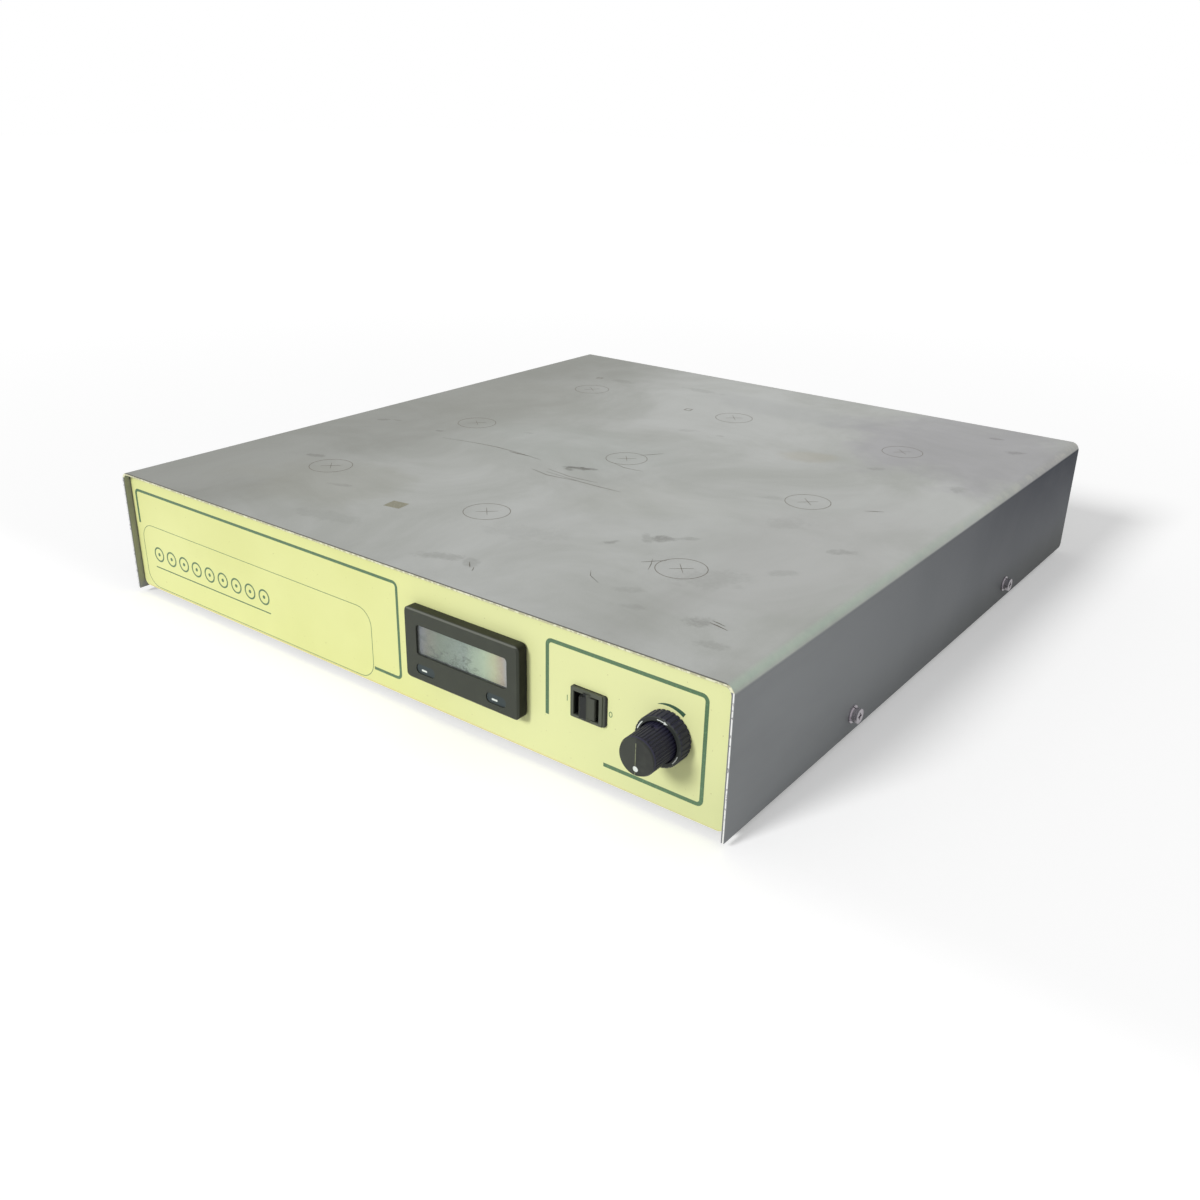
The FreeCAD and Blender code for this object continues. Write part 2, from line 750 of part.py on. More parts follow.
def make_tray():
    """Tray: bottom, front and rear walls folded from one sheet, with a turned-in rim at the top."""
    body = new_body("tray_fold")
    profile = sketch_on(body, "tray_profile", "YZ_Plane")
    outline(
        profile,
        [
            ("wall_face", "tray_bottom"),
            ("rear_face", "tray_bottom"),
            ("rear_face", "tray_top"),
            ("rear_face - return_flange", "tray_top"),
            ("rear_face - return_flange", "tray_top - tray_sheet"),
            ("rear_inside", "tray_top - tray_sheet"),
            ("rear_inside", "tray_floor"),
            ("wall_back", "tray_floor"),
            ("wall_back", "tray_top - tray_sheet"),
            ("wall_face + return_flange", "tray_top - tray_sheet"),
            ("wall_face + return_flange", "tray_top"),
            ("wall_face", "tray_top"),
        ],
    )
    fold = grow(body, "Pad", profile, "2 * tray_half", both_ways=True)
    doc.recompute()
    box = fold.Shape.BoundBox
    sheet_size = size("tray_sheet")
    crosswise = Vector(1, 0, 0)

    def bend(edge, inset):
        """Whether an edge is a bend line, this far inside the outer faces."""
        middle = edge.CenterOfMass
        beside_wall = min(abs(middle.y - box.YMin - inset), abs(box.YMax - inset - middle.y)) < NEAR
        beside_flat = min(abs(middle.z - box.ZMin - inset), abs(box.ZMax - inset - middle.z)) < NEAR
        return runs_along(edge, crosswise) and beside_wall and beside_flat

    soften(body, "Fillet", "tray_outer_bends", "tray_bend + tray_sheet", lambda edge: bend(edge, 0))
    soften(body, "Fillet", "tray_inner_bends", "tray_bend", lambda edge: bend(edge, sheet_size))

    ends = ("wall_back + side_flange_setback", "rear_inside - side_flange_setback")
    side = sketch_on(body, "side_flange_outline", "XY_Plane", "tray_floor")
    oblong(side, ("tray_half - tray_sheet", "tray_half"), ends)
    flange = grow(body, "Pad", side, "side_flange")
    doc.recompute()
    both = body.newObject("PartDesign::Mirrored", "both_side_flanges")
    both.Originals = [flange]
    both.MirrorPlane = (origin_part(body, "YZ_Plane"), [""])
    body.Tip = both

    screw_holes = sketch_on(body, "tray_screw_holes", "YZ_Plane")
    for sign in side_signs():
        along = f"mid_y + {sign} * screw_spacing / 2"
        circle(screw_holes, along, "screw_height", "screw_radius + screw_hole_gap")
    grow(body, "Pocket", screw_holes, "2 * cover_width", both_ways=True)

    front = sketch_on(body, "front_cutouts", "XZ_Plane", "-wall_face")
    panel_holes(front)
    grow(body, "Pocket", front, "tray_sheet + tray_bend")

    rear = sketch_on(body, "rear_cutouts", "XZ_Plane", "-rear_inside")
    oblong(
        rear,
        about("inlet_x", "inlet_body_width + 2 * cutout_gap"),
        about("inlet_z", "inlet_body_height + 2 * cutout_gap"),
    )
    for sign in side_signs():
        across = f"inlet_x + {sign} * inlet_screw_spacing / 2"
        circle(rear, across, "inlet_z", "inlet_screw_radius + cutout_gap")
    grow(body, "Pocket", rear, "2 * tray_sheet")

    slot = sketch_on(body, "vent_slot", "XZ_Plane", "-rear_inside")
    oblong(slot, about("vent_start", "vent_width"), about("inlet_z", "vent_height"))
    vent = grow(body, "Pocket", slot, "2 * tray_sheet")
    doc.recompute()
    vents = body.newObject("PartDesign::LinearPattern", "vent_row")
    vents.Originals = [vent]
    vents.Direction = (origin_part(body, "X_Axis"), [""])
    vents.setExpression("Length", sized("vent_pitch * (vent_count - 1)"))
    vents.setExpression("Occurrences", sized("vent_count"))
    body.Tip = vents

    floor = sketch_on(body, "floor_holes", "XY_Plane", "tray_bottom")
    for across_sign in side_signs():
        for along_sign in side_signs():
            circle(
                floor,
                f"{across_sign} * foot_spacing_x / 2",
                f"mid_y + {along_sign} * foot_spacing_y / 2",
                "foot_screw_radius + cutout_gap",
            )
    grow(body, "Pocket", floor, "tray_sheet", backwards=True)

    reliefs = []
    for sign, side_name in zip(side_signs(), ("left", "right")):
        edge = f"{sign} * tray_half"
        centre = f"{sign} * (tray_half - panel_corner)"
        ends_x = (edge, centre) if sign < 0 else (centre, edge)
        top = ("tray_top - panel_corner", "tray_top")
        bottom = ("tray_bottom", "tray_bottom + panel_corner")
        deep = ("wall_face", "rear_face")
        thin = ("wall_face", "wall_back + tray_bend")
        for where, y, z, centre_z in (("top", deep, top, top[0]), ("bottom", thin, bottom, bottom[1])):
            name = f"{side_name}_{where}_corner"
            corner = block(name + "_block", ends_x, y, z)
            round_off = rod(name + "_round", "panel_corner", "y", y, centre, 0, centre_z)
            reliefs.append(cut(name, corner, round_off))
    keep(cut("base_tray", body, *reliefs))


def panel_holes(flat):
    """The openings that the front wall and its overlay share."""
    gap = "2 * cutout_gap"
    for x, z, body in (("meter_x", "meter_z", "meter_body"), ("opening_x", "opening_z", "switch_body")):
        oblong(flat, about(x, f"{body}_width + {gap}"), about(z, f"{body}_height + {gap}"))
    circle(flat, "knob_x", "knob_z", "bushing_radius + cutout_gap")


def make_overlay():
    """Printed plastic overlay on the whole front wall."""
    body = upright_plate(
        "front_overlay",
        ("-tray_half", "tray_half"),
        ("panel_face", "wall_face"),
        ("tray_bottom", "tray_top - overlay_top_gap"),
        "panel_corner",
    )
    openings = sketch_on(body, "overlay_openings", "XZ_Plane", "-panel_face")
    panel_holes(openings)
    grow(body, "Pocket", openings, "2 * overlay_sheet")
    keep(body)


def side_places():
    """Where the cover screws are, with the turn that points each one inwards."""
    places = []
    for sign in side_signs():
        turn = Rotation(Vector(0, 0, 1), 0 if sign > 0 else 180)
        for along in side_signs():
            y = f"mid_y + {along} * screw_spacing / 2"
            places.append((f"{sign} * cover_half", y, "screw_height", turn))
    return places


def make_cover_screws():
    """Four pan-head screws with flat and split washers, and the clinch nuts they turn into."""
    shank = ("screw_radius", "washers + nut_inner")
    upright = screw("cover_screw_upright", *shank, "screw_head_radius", "screw_head_height")
    sideways = copy_at("cover_screw_sideways", upright, "washers", 0, 0, AXIS_TURN["x"])
    keep(copies("cover_screws", group("cover_screw", [sideways]), side_places()))

    flat = tube("flat_washer", "flat_washer_radius", "screw_radius", "x", (0, "flat_washer_sheet"))
    keep(copies("flat_washers", flat, side_places()))

    ring = tube("closed_washer", "lock_washer_radius", "screw_radius", "x", ("flat_washer_sheet", "washers"))
    slit = about(0, "lock_washer_split")
    split = block("washer_split", ("flat_washer_sheet", "washers"), slit, (0, "lock_washer_radius"))
    keep(copies("lock_washers", cut("lock_washer", ring, split), side_places()))

    nut = tube("clinch_nut", "nut_radius", "screw_radius", "x", ("-nut_inner", "-nut_outer"))
    keep(copies("clinch_nuts", nut, side_places()))


def foot_places():
    """The four feet under the tray."""
    return [
        (f"{across} * foot_spacing_x / 2", f"mid_y + {along} * foot_spacing_y / 2")
        for across in side_signs()
        for along in side_signs()
    ]


def make_feet():
    """Rubber feet, each held up by a screw in a well."""
    narrow_end = "foot_radius - foot_taper"
    cone = add("Part::Cone", "foot_cone", Radius1=narrow_end, Radius2="foot_radius", Height="tray_bottom")
    well = rod("foot_well", "foot_well_radius", "z", (0, "foot_well_depth"))
    hole = rod("foot_hole", "foot_screw_radius", "z", (0, "tray_bottom"))
    keep(copies("rubber_feet", cut("rubber_foot", cone, well, hole), foot_places()))

    well_end = "foot_well_depth"
    shank = rod("foot_screw_shank", "foot_screw_radius", "z", (well_end, "tray_floor + tray_sheet"))
    head = rod("foot_screw_head", "foot_head_radius", "z", (well_end + " - foot_head_height", well_end))
    keep(copies("foot_screws", fuse("foot_screw", shank, head), foot_places()))


def standoff_places():
    """The six standoffs that carry the drive deck."""
    return [
        (f"{across} * standoff_x", f"standoff_mid_y + {along} * standoff_y")
        for across in side_signs()
        for along in (-1, 0, 1)
    ]


def motor_screw_places():
    """The four motor screws, round the motor shaft."""
    reach = "motor_screw_circle * sqrt(0.5)"
    return [
        (f"motor_x + {across} * {reach}", f"mid_y + motor_y + {along} * {reach}")
        for across in side_signs()
        for along in side_signs()
    ]


def make_deck():
    """Aluminium drive deck on its standoffs, with its screws."""
    body = plate(
        "drive_deck",
        "XY_Plane",
        ("-deck_half_x", "deck_half_x"),
        ("deck_front", "deck_rear"),
        "deck_height",
        "deck_sheet",
        "standoff_radius",
    )
    holes = sketch_on(body, "deck_holes", "XY_Plane", "deck_height")
    for x, y in grid_places():
        circle(holes, x, y, "post_radius")
    for x, y in standoff_places():
        circle(holes, x, y, "deck_screw_radius")
    for x, y in motor_screw_places():
        circle(holes, x, y, "deck_screw_radius")
    circle(holes, "motor_x", "mid_y + motor_y", "motor_boss_radius")
    grow(body, "Pocket", holes, "2 * deck_sheet", backwards=True)
    keep(body)

    hole_depth = "deck_height - 4 * deck_screw_radius"
    standoff = cut(
        "deck_standoff",
        rod("standoff_bar", "standoff_radius", "z", ("tray_floor", "deck_height")),
        rod("standoff_hole", "deck_screw_radius", "z", (hole_depth, "deck_height")),
    )
    keep(copies("deck_standoffs", standoff, standoff_places()))

    deck_screw = screw(
        "deck_screw",
        "deck_screw_radius",
        "deck_sheet + 4 * deck_screw_radius",
        "deck_head_radius",
        "deck_head_height",
    )
    keep(copies("deck_screws", deck_screw, [(x, y, "deck_top") for x, y in standoff_places()]))
    keep(copies("motor_screws", deck_screw, [(x, y, "deck_top") for x, y in motor_screw_places()]))


def make_spindles():
    """Nine fixed posts with thrust washers and retaining rings."""
    post = fuse(
        "spindle_post",
        rod("post_bar", "post_radius", "z", ("deck_height", "clip_top + post_tip")),
        rod("post_collar", "post_collar_radius", "z", ("deck_top", "deck_top + post_collar_height")),
    )
    keep(copies("spindle_posts", post, grid_places()))

    washer_ends = ("deck_top + post_collar_height", "rotor_bottom - axial_play")
    washer = tube("thrust_washer", "thrust_washer_radius", "post_radius", "z", washer_ends)
    keep(copies("thrust_washers", washer, grid_places()))

    clip = tube("spindle_clip", "clip_radius", "post_radius", "z", ("clip_bottom", "clip_top"))
    keep(copies("spindle_clips", clip, grid_places()))


def make_rotors():
    """Nine magnet rotors: a belt drum under a disc that holds two round magnets."""
    body = new_body("magnet_carrier")
    profile = sketch_on(body, "carrier_profile", "XZ_Plane")
    outline(
        profile,
        [
            ("bore_radius", "0"),
            ("flange_radius", "0"),
            ("flange_radius", "flange_sheet"),
            ("drum_radius", "flange_sheet"),
            ("drum_radius", "carrier_bottom"),
            ("carrier_radius", "carrier_bottom"),
            ("carrier_radius", "rotor_height"),
            ("hub_recess_radius", "rotor_height"),
            ("hub_recess_radius", "hub_top"),
            ("bore_radius", "hub_top"),
        ],
    )
    revolve(body, profile)
    pockets = sketch_on(body, "magnet_pockets", "XY_Plane", "rotor_height")
    for sign in side_signs():
        circle(pockets, f"{sign} * magnet_offset", "0", "magnet_radius")
    grow(body, "Pocket", pockets, "magnet_height")
    seat = "rotor_height - magnet_height"
    magnet = rod("magnet", "magnet_radius", "z", (seat, "rotor_height"), "magnet_offset")
    other = copy_at("magnet_other", magnet, "-magnet_offset", 0, seat)
    for number, (x, y) in enumerate(grid_places(), start=1):
        carrier = copy_at(f"carrier_{number}", body)
        right = copy_at(f"magnet_{number}_a", magnet, "magnet_offset", 0, seat)
        left = copy_at(f"magnet_{number}_b", other, "-magnet_offset", 0, seat)
        keep(put(group(f"stir_rotor_{number}", [carrier, right, left]), x, y, "rotor_bottom"))


def belt_wire(pulleys, offset):
    """A closed line round pulleys (centre, radius, turn), shifted to its left by an offset.

    A pulley with turn +1 is passed anticlockwise and one with -1 clockwise."""
    count = len(pulleys)
    heading = []
    for i in range(count):
        here, radius, turn = pulleys[i]
        there, next_radius, next_turn = pulleys[(i + 1) % count]
        way = there - here
        lean = math.asin((next_turn * next_radius - turn * radius) / way.Length)
        heading.append(math.atan2(way.y, way.x) - lean)

    def touch(centre, radius, turn, angle):
        """Where the line that runs at an angle touches a pulley."""
        reach = turn * radius - offset
        return centre + Vector(reach * math.sin(angle), -reach * math.cos(angle), 0)

    edges = []
    for i in range(count):
        centre, radius, turn = pulleys[i]
        arrive, leave = heading[i - 1], heading[i]
        swing = turn * ((turn * (leave - arrive)) % (2 * math.pi))
        start = touch(centre, radius, turn, arrive)
        middle = touch(centre, radius, turn, arrive + swing / 2)
        end = touch(centre, radius, turn, leave)
        edges.append(Part.Arc(start, middle, end).toShape())
        following = pulleys[(i + 1) % count]
        edges.append(Part.LineSegment(end, touch(*following, leave)).toShape())
    return Part.Wire(edges)


def make_belt(name, pulleys, bottom):
    """A flat belt standing on edge round its pulleys."""
    half = size("belt_sheet") / 2
    walls = [belt_wire(pulleys, side * half) for side in side_signs()]
    walls.sort(key=lambda wire: wire.BoundBox.DiagonalLength, reverse=True)
    band = Part.makeFace(walls, "Part::FaceMakerBullseye").extrude(Vector(0, 0, size("belt_height")))
    belt = doc.addObject("Part::Feature", name)
    belt.Shape = band
    keep(put(belt, 0, 0, bottom))


def make_belts():
    """The perimeter belt and the belt from the motor."""
    slack = size("belt_gap") + size("belt_sheet") / 2
    drum = size("drum_radius") + slack
    motor = size("motor_pulley_radius") + slack
    mid_y = (size("knob_height") - size("panel_recess")) / 2
    grid_y = mid_y + size("grid_shift")

    def place(col, row):
        """The centre of one stirring place."""
        return Vector(col * size("pitch_x"), grid_y + row * size("pitch_y"), 0)

    ring = [(-1, -1), (0, -1), (1, -1), (1, 0), (1, 1), (0, 1), (-1, 1), (-1, 0)]
    perimeter = [(place(col, row), drum, 1 if col * row else -1) for col, row in ring]
    motor_place = Vector(size("motor_x"), mid_y + size("motor_y"), 0)
    drive = [(place(0, 0), drum, 1), (motor_place, motor, 1), (place(1, 1), drum, 1)]
    lower = "rotor_bottom + flange_sheet + (belt_seat - belt_height) / 2"
    make_belt("perimeter_belt", perimeter, lower + " + belt_seat")
    make_belt("drive_belt", drive, lower)


def make_motor():
    """Flat motor hung under the deck, with its shaft and pulley."""
    place = ("motor_x", "mid_y + motor_y")
    shaft_bottom = "deck_height - motor_shaft_depth"
    boss_top = "deck_height + motor_boss_height"
    can = rod("motor_can", "motor_radius", "z", ("deck_height - motor_height", "deck_height"), *place)
    boss = rod("motor_boss", "motor_boss_radius", "z", ("deck_height", boss_top), *place)
    bore_ends = (shaft_bottom, boss_top)
    bore = rod("motor_bore", "motor_shaft_radius + running_gap", "z", bore_ends, *place)
    thread_ends = ("deck_height - 4 * deck_screw_radius", "deck_height")
    threads = [
        rod(f"motor_thread_{i}", "deck_screw_radius", "z", thread_ends, x, y)
        for i, (x, y) in enumerate(motor_screw_places(), start=1)
    ]
    keep(cut("motor_body", fuse("motor_blank", can, boss), bore, *threads))

    pulley_top = "rotor_bottom + 2 * flange_sheet + belt_seat"
    keep(rod("motor_shaft", "motor_shaft_radius", "z", (f"{shaft_bottom} + axial_play", pulley_top), *place))

    body = new_body("motor_pulley")
    profile = sketch_on(body, "pulley_profile", "XZ_Plane")
    seat_top = "flange_sheet + belt_seat"
    outline(
        profile,
        [
            ("motor_shaft_radius", "0"),
            ("motor_pulley_flange", "0"),
            ("motor_pulley_flange", "flange_sheet"),
            ("motor_pulley_radius", "flange_sheet"),
            ("motor_pulley_radius", seat_top),
            ("motor_pulley_flange", seat_top),
            ("motor_pulley_flange", f"{seat_top} + flange_sheet"),
            ("motor_shaft_radius", f"{seat_top} + flange_sheet"),
        ],
    )
    revolve(body, profile)
    keep(put(body, *place, "rotor_bottom"))


def make_meter():
    """Panel speed meter: case, gasket, clip, lens, display and two keys."""
    bezel = upright_plate(
        "bezel_plate",
        about("meter_x", "bezel_width"),
        ("bezel_front", "bezel_back"),
        about("meter_z", "bezel_height"),
        "bezel_corner",
    )
    doc.recompute()
    front = bezel.Shape.BoundBox.YMin
    soften(bezel, "Chamfer", "bezel_bevel", "bezel_chamfer", lambda edge: edge.BoundBox.YMax < front + NEAR)
    rear = block(
        "meter_rear",
        about("meter_x", "meter_body_width"),
        ("bezel_back", "wall_back + meter_body_depth"),
        about("meter_z", "meter_body_height"),
    )
    window = about("window_x", "window_width"), about("window_z", "window_height")
    recess_ends = ("bezel_front", "lcd_back")
    recess = upright_plate("window_recess", window[0], recess_ends, window[1], "window_corner")
    wells = []
    for sign in side_signs():
        middle = f"meter_x + {sign} * button_spacing / 2"
        wells.append(
            upright_plate(
                f"key_well_{'left' if sign < 0 else 'right'}",
                about(middle, "button_width + 2 * button_gap"),
                ("bezel_front", "well_floor"),
                about("button_z", "button_height + 2 * button_gap"),
                "button_corner + button_gap",
            )
        )
    keep(cut("meter_case", fuse("meter_blank", bezel, rear), recess, *wells))

    keep(upright_plate("meter_lens", window[0], ("lens_front", "lens_back"), window[1], "window_corner"))
    keep(upright_plate("lcd_panel", window[0], ("lens_back", "lcd_back"), window[1], "window_corner"))
    for sign, side_name in zip(side_signs(), ("left", "right")):
        middle = f"meter_x + {sign} * button_spacing / 2"
        key = upright_plate(
            f"{side_name}_meter_key",
            about(middle, "button_width"),
            ("button_front", "button_back"),
            about("button_z", "button_height"),
            "button_corner",
        )
        keep(key)

    gasket = upright_plate(
        "gasket_sheet_blank",
        about("meter_x", "bezel_width - 2 * gasket_inset"),
        ("bezel_back", "panel_face"),
        about("meter_z", "bezel_height - 2 * gasket_inset"),
        "bezel_corner",
    )
    through = about("meter_x", "meter_body_width"), about("meter_z", "meter_body_height")
    gasket_hole = block("gasket_hole", through[0], ("bezel_back", "panel_face"), through[1])
    keep(cut("meter_gasket", gasket, gasket_hole))

    clip_ends = ("wall_back", "wall_back + meter_clip_sheet")
    frame = upright_plate(
        "meter_clip_blank",
        about("meter_x", "meter_body_width + 2 * meter_clip_rim"),
        clip_ends,
        about("meter_z", "meter_body_height + 2 * meter_clip_rim"),
        "bezel_corner",
    )
    keep(cut("meter_clip", frame, block("meter_clip_hole", through[0], clip_ends, through[1])))


def make_switch():
    """Rocker power switch: snap-in housing, rocker turning on two round hubs, and tabs."""
    body = new_body("switch_rim_bar")
    profile = sketch_on(body, "switch_rim_profile", "XY_Plane")
    half = "switch_width / 2"
    outline(
        profile,
        [
            (f"-{half}", "0"),
            (f"-{half}", "-(switch_rim - switch_step)"),
            (f"-({half} - switch_step)", "-switch_rim"),
            (f"{half} - switch_bevel", "-switch_rim"),
            (f"{half} - switch_bevel", "-(switch_rim - switch_step)"),
            (f"{half} - switch_step", "-2 * switch_step"),
            (half, "-switch_step"),
            (half, "0"),
        ],
    )
    grow(body, "Pad", profile, "switch_height", both_ways=True)
    bar = put(body, "switch_x", "panel_face", "switch_z")
    corners = upright_plate(
        "switch_rim_corners",
        about("switch_x", "switch_width"),
        ("rim_front", "panel_face"),
        about("switch_z", "switch_height"),
        "switch_corner",
    )
    rim = doc.addObject("Part::MultiCommon", "switch_rim_plate")
    rim.Shapes = [bar, corners]
    rear = block(
        "switch_rear",
        about("opening_x", "switch_body_width"),
        ("panel_face", "switch_back"),
        about("opening_z", "switch_body_height"),
    )
    opening = block(
        "switch_opening",
        about("opening_x", "switch_opening_width"),
        ("rim_front", "rim_front + switch_opening_depth"),
        about("opening_z", "switch_opening_height"),
    )
    hub_ends = "switch_opening_height + 2 * rocker_hub_reach"
    socket = about("opening_z", hub_ends + " + 2 * running_gap")
    sockets = rod("hub_sockets", "rocker_hub_radius + running_gap", "z", socket, "rocker_x", "pivot_y")
    keep(cut("switch_housing", fuse("switch_blank", rim, rear), opening, sockets))

    paddle = new_body("rocker_paddle")
    profile = sketch_on(paddle, "rocker_profile", "XY_Plane")
    right = [
        ("rocker_half - rocker_lip", "-rocker_end"),
        ("rocker_half", "-(rocker_end - rocker_lip)"),
        ("rocker_half + rocker_flare", "0"),
        ("rocker_tail", "rocker_back"),
    ]
    left = [(f"-({across})", back) for across, back in reversed(right)]
    outline(profile, [("0", "-rocker_dip")] + right + left)
    thickness = "switch_opening_height - 2 * rocker_side_gap"
    grow(paddle, "Pad", profile, thickness, both_ways=True)
    hubs = [
        rod("rocker_hub_low", "rocker_hub_radius", "z", (f"-({hub_ends}) / 2", f"-({thickness}) / 2")),
        rod("rocker_hub_high", "rocker_hub_radius", "z", (f"({thickness}) / 2", f"({hub_ends}) / 2")),
    ]
    rocker = fuse("power_rocker", paddle, *hubs)
    put(rocker, "rocker_x", "pivot_y", "opening_z", Rotation(Vector(0, 0, 1), size("rocker_angle")))
    keep(rocker)

    tabs = [
        block(
            f"switch_tab_{number}",
            about(f"opening_x + {step} * tab_pitch", "tab_sheet"),
            ("switch_back", "switch_back + tab_length"),
            about("opening_z", "tab_width"),
        )
        for number, step in enumerate((-1, 0, 1), start=1)
    ]
    keep(group("switch_tabs", tabs))


def make_speed_control():
    """Speed potentiometer, its fixed lock base, the ribbed lock ring and the fluted knob."""
    place = {"x": "knob_x", "z": "knob_z"}
    bore = "pot_shaft_radius + running_gap"
    can = rod("pot_can", "pot_radius", "y", ("wall_back", "wall_back + pot_depth"), **place)
    bushing = rod("pot_bushing", "bushing_radius", "y", ("bushing_end", "wall_back"), **place)
    shaft_end = "wall_back + pot_depth / 2"
    hole = rod("pot_bore", bore, "y", ("bushing_end", f"{shaft_end} + axial_play"), **place)
    keep(cut("speed_pot", fuse("pot_blank", can, bushing), hole))
    keep(rod("pot_shaft", "pot_shaft_radius", "y", ("shaft_tip", shaft_end), **place))

    sleeve_front = "panel_face - base_sleeve_height"
    base = fuse(
        "lock_base_blank",
        rod("lock_base_disc", "base_flange_radius", "y", ("base_front", "panel_face"), **place),
        rod("lock_base_sleeve", "base_sleeve_radius", "y", (sleeve_front, "panel_face"), **place),
    )
    inside_sleeve = rod(
        "lock_base_hollow",
        "base_sleeve_radius - base_sleeve_wall",
        "y",
        (sleeve_front, "base_front"),
        **place,
    )
    base_bore = rod("lock_base_bore", "bushing_radius", "y", ("base_front", "panel_face"), **place)
    keep(cut("lock_base", base, inside_sleeve, base_bore))

    nut_front = "base_front - pot_nut_height"
    corner_radius = "pot_nut_flats / sqrt(3)"
    hexagon = add("Part::Prism", "pot_nut_hexagon", Circumradius=corner_radius, Height="pot_nut_height")
    put(hexagon, "knob_x", nut_front, "knob_z", AXIS_TURN["y"])
    nut_bore = rod("pot_nut_bore", "bushing_radius", "y", (nut_front, "base_front"), **place)
    keep(cut("pot_nut", hexagon, nut_bore))

    keep(make_lock_ring())
    keep(make_knob())
    screw_ends = ("pot_shaft_radius", "pot_shaft_radius + set_screw_length")
    screw_y = "panel_face - set_screw_place"
    grub = rod("set_screw_bar", "set_screw_radius", "z", screw_ends)
    key_hole = rod("set_screw_socket", "set_screw_radius / 2", "z", ("set_screw_length", screw_ends[1]))
    keep(put(cut("knob_set_screw", grub, key_hole), "knob_x", screw_y, "knob_z"))


def fluted(body, name, radius, centre_radius, ends, count):
    """Round grooves cut along a turned piece and repeated about its axis."""
    flat = sketch_on(body, name, "XZ_Plane", f"-({ends[0]})")
    circle(flat, centre_radius, "0", radius)
    groove = grow(body, "Pocket", flat, span(ends))
    doc.recompute()
    around = body.newObject("PartDesign::PolarPattern", name + "_round")
    around.Originals = [groove]
    around.Axis = (origin_part(body, "Y_Axis"), [""])
    around.Angle = 360
    around.setExpression("Occurrences", sized(count))
    body.Tip = around


def make_lock_ring():
    """Ribbed ring that turns on the lock base; its mouth takes the back of the knob."""
    body = new_body("lock_ring")
    profile = sketch_on(body, "ring_profile", "XY_Plane")
    sleeve_bore = "base_sleeve_radius + running_gap"
    lip_bore = "base_flange_radius + ring_wall_gap"
    outline(
        profile,
        [
            (lip_bore, "ring_back"),
            ("ring_radius", "ring_back"),
            ("ring_radius", "ring_front + ring_chamfer"),
            ("ring_radius - ring_chamfer", "ring_front"),
            ("ring_mouth_radius", "ring_front"),
            ("ring_mouth_radius", "ring_front + ring_mouth_depth"),
            (sleeve_bore, "ring_front + ring_mouth_depth"),
            (sleeve_bore, "base_front - ring_wall_gap"),
            (lip_bore, "base_front - ring_wall_gap"),
        ],
    )
    revolve(body, profile)
    ends = ("ring_front", "ring_back")
    fluted(body, "ring_rib", "rib_radius", "ring_radius + rib_radius / 3", ends, "rib_count")
    return put(body, "knob_x", 0, "knob_z")


def make_knob():
    """Fluted knob: its face falls to each side of an upright ridge and has a round dimple."""
    body = new_body("knob_turned")
    profile = sketch_on(body, "knob_profile", "XY_Plane")
    outline(
        profile,
        [
            ("0", "knob_front"),
            ("knob_radius - knob_bevel", "knob_front"),
            ("knob_radius", "knob_front + 2 * knob_bevel"),
            ("knob_radius", "knob_back"),
            ("pot_shaft_radius", "knob_back"),
            ("pot_shaft_radius", "shaft_tip"),
            ("0", "shaft_tip"),
        ],
    )
    revolve(body, profile)
    ends = ("knob_front + knob_band", "knob_back")
    fluted(body, "knob_flute", "flute_radius", "knob_radius + flute_radius / 5", ends, "flute_count")

    before = "knob_front - knob_bevel"
    fallen = "knob_front + knob_slope"
    sides = sketch_on(body, "face_sides", "XY_Plane")
    outline(
        sides,
        [
            ("-knob_radius", before),
            ("knob_radius", before),
            ("knob_radius", fallen),
            ("0", "knob_front"),
            ("-knob_radius", fallen),
        ],
    )
    grow(body, "Pocket", sides, "2 * knob_radius", both_ways=True)
    top = sketch_on(body, "face_top", "YZ_Plane")
    outline(
        top,
        [
            ("knob_front", "knob_ridge_top"),
            (fallen, "knob_radius"),
            (before, "knob_radius"),
            (before, "knob_ridge_top"),
        ],
    )
    grow(body, "Pocket", top, "2 * knob_radius", both_ways=True)
    dimple_ends = (before, "knob_front + dimple_depth")
    dimple = rod("knob_dimple", "dimple_radius", "y", dimple_ends, 0, 0, "-dimple_drop")
    screw_y = "panel_face - set_screw_place"
    hole = rod("set_screw_hole", "set_screw_radius", "z", ("pot_shaft_radius", "knob_radius"), 0, screw_y)
    return put(cut("speed_knob", body, dimple, hole), "knob_x", 0, "knob_z")


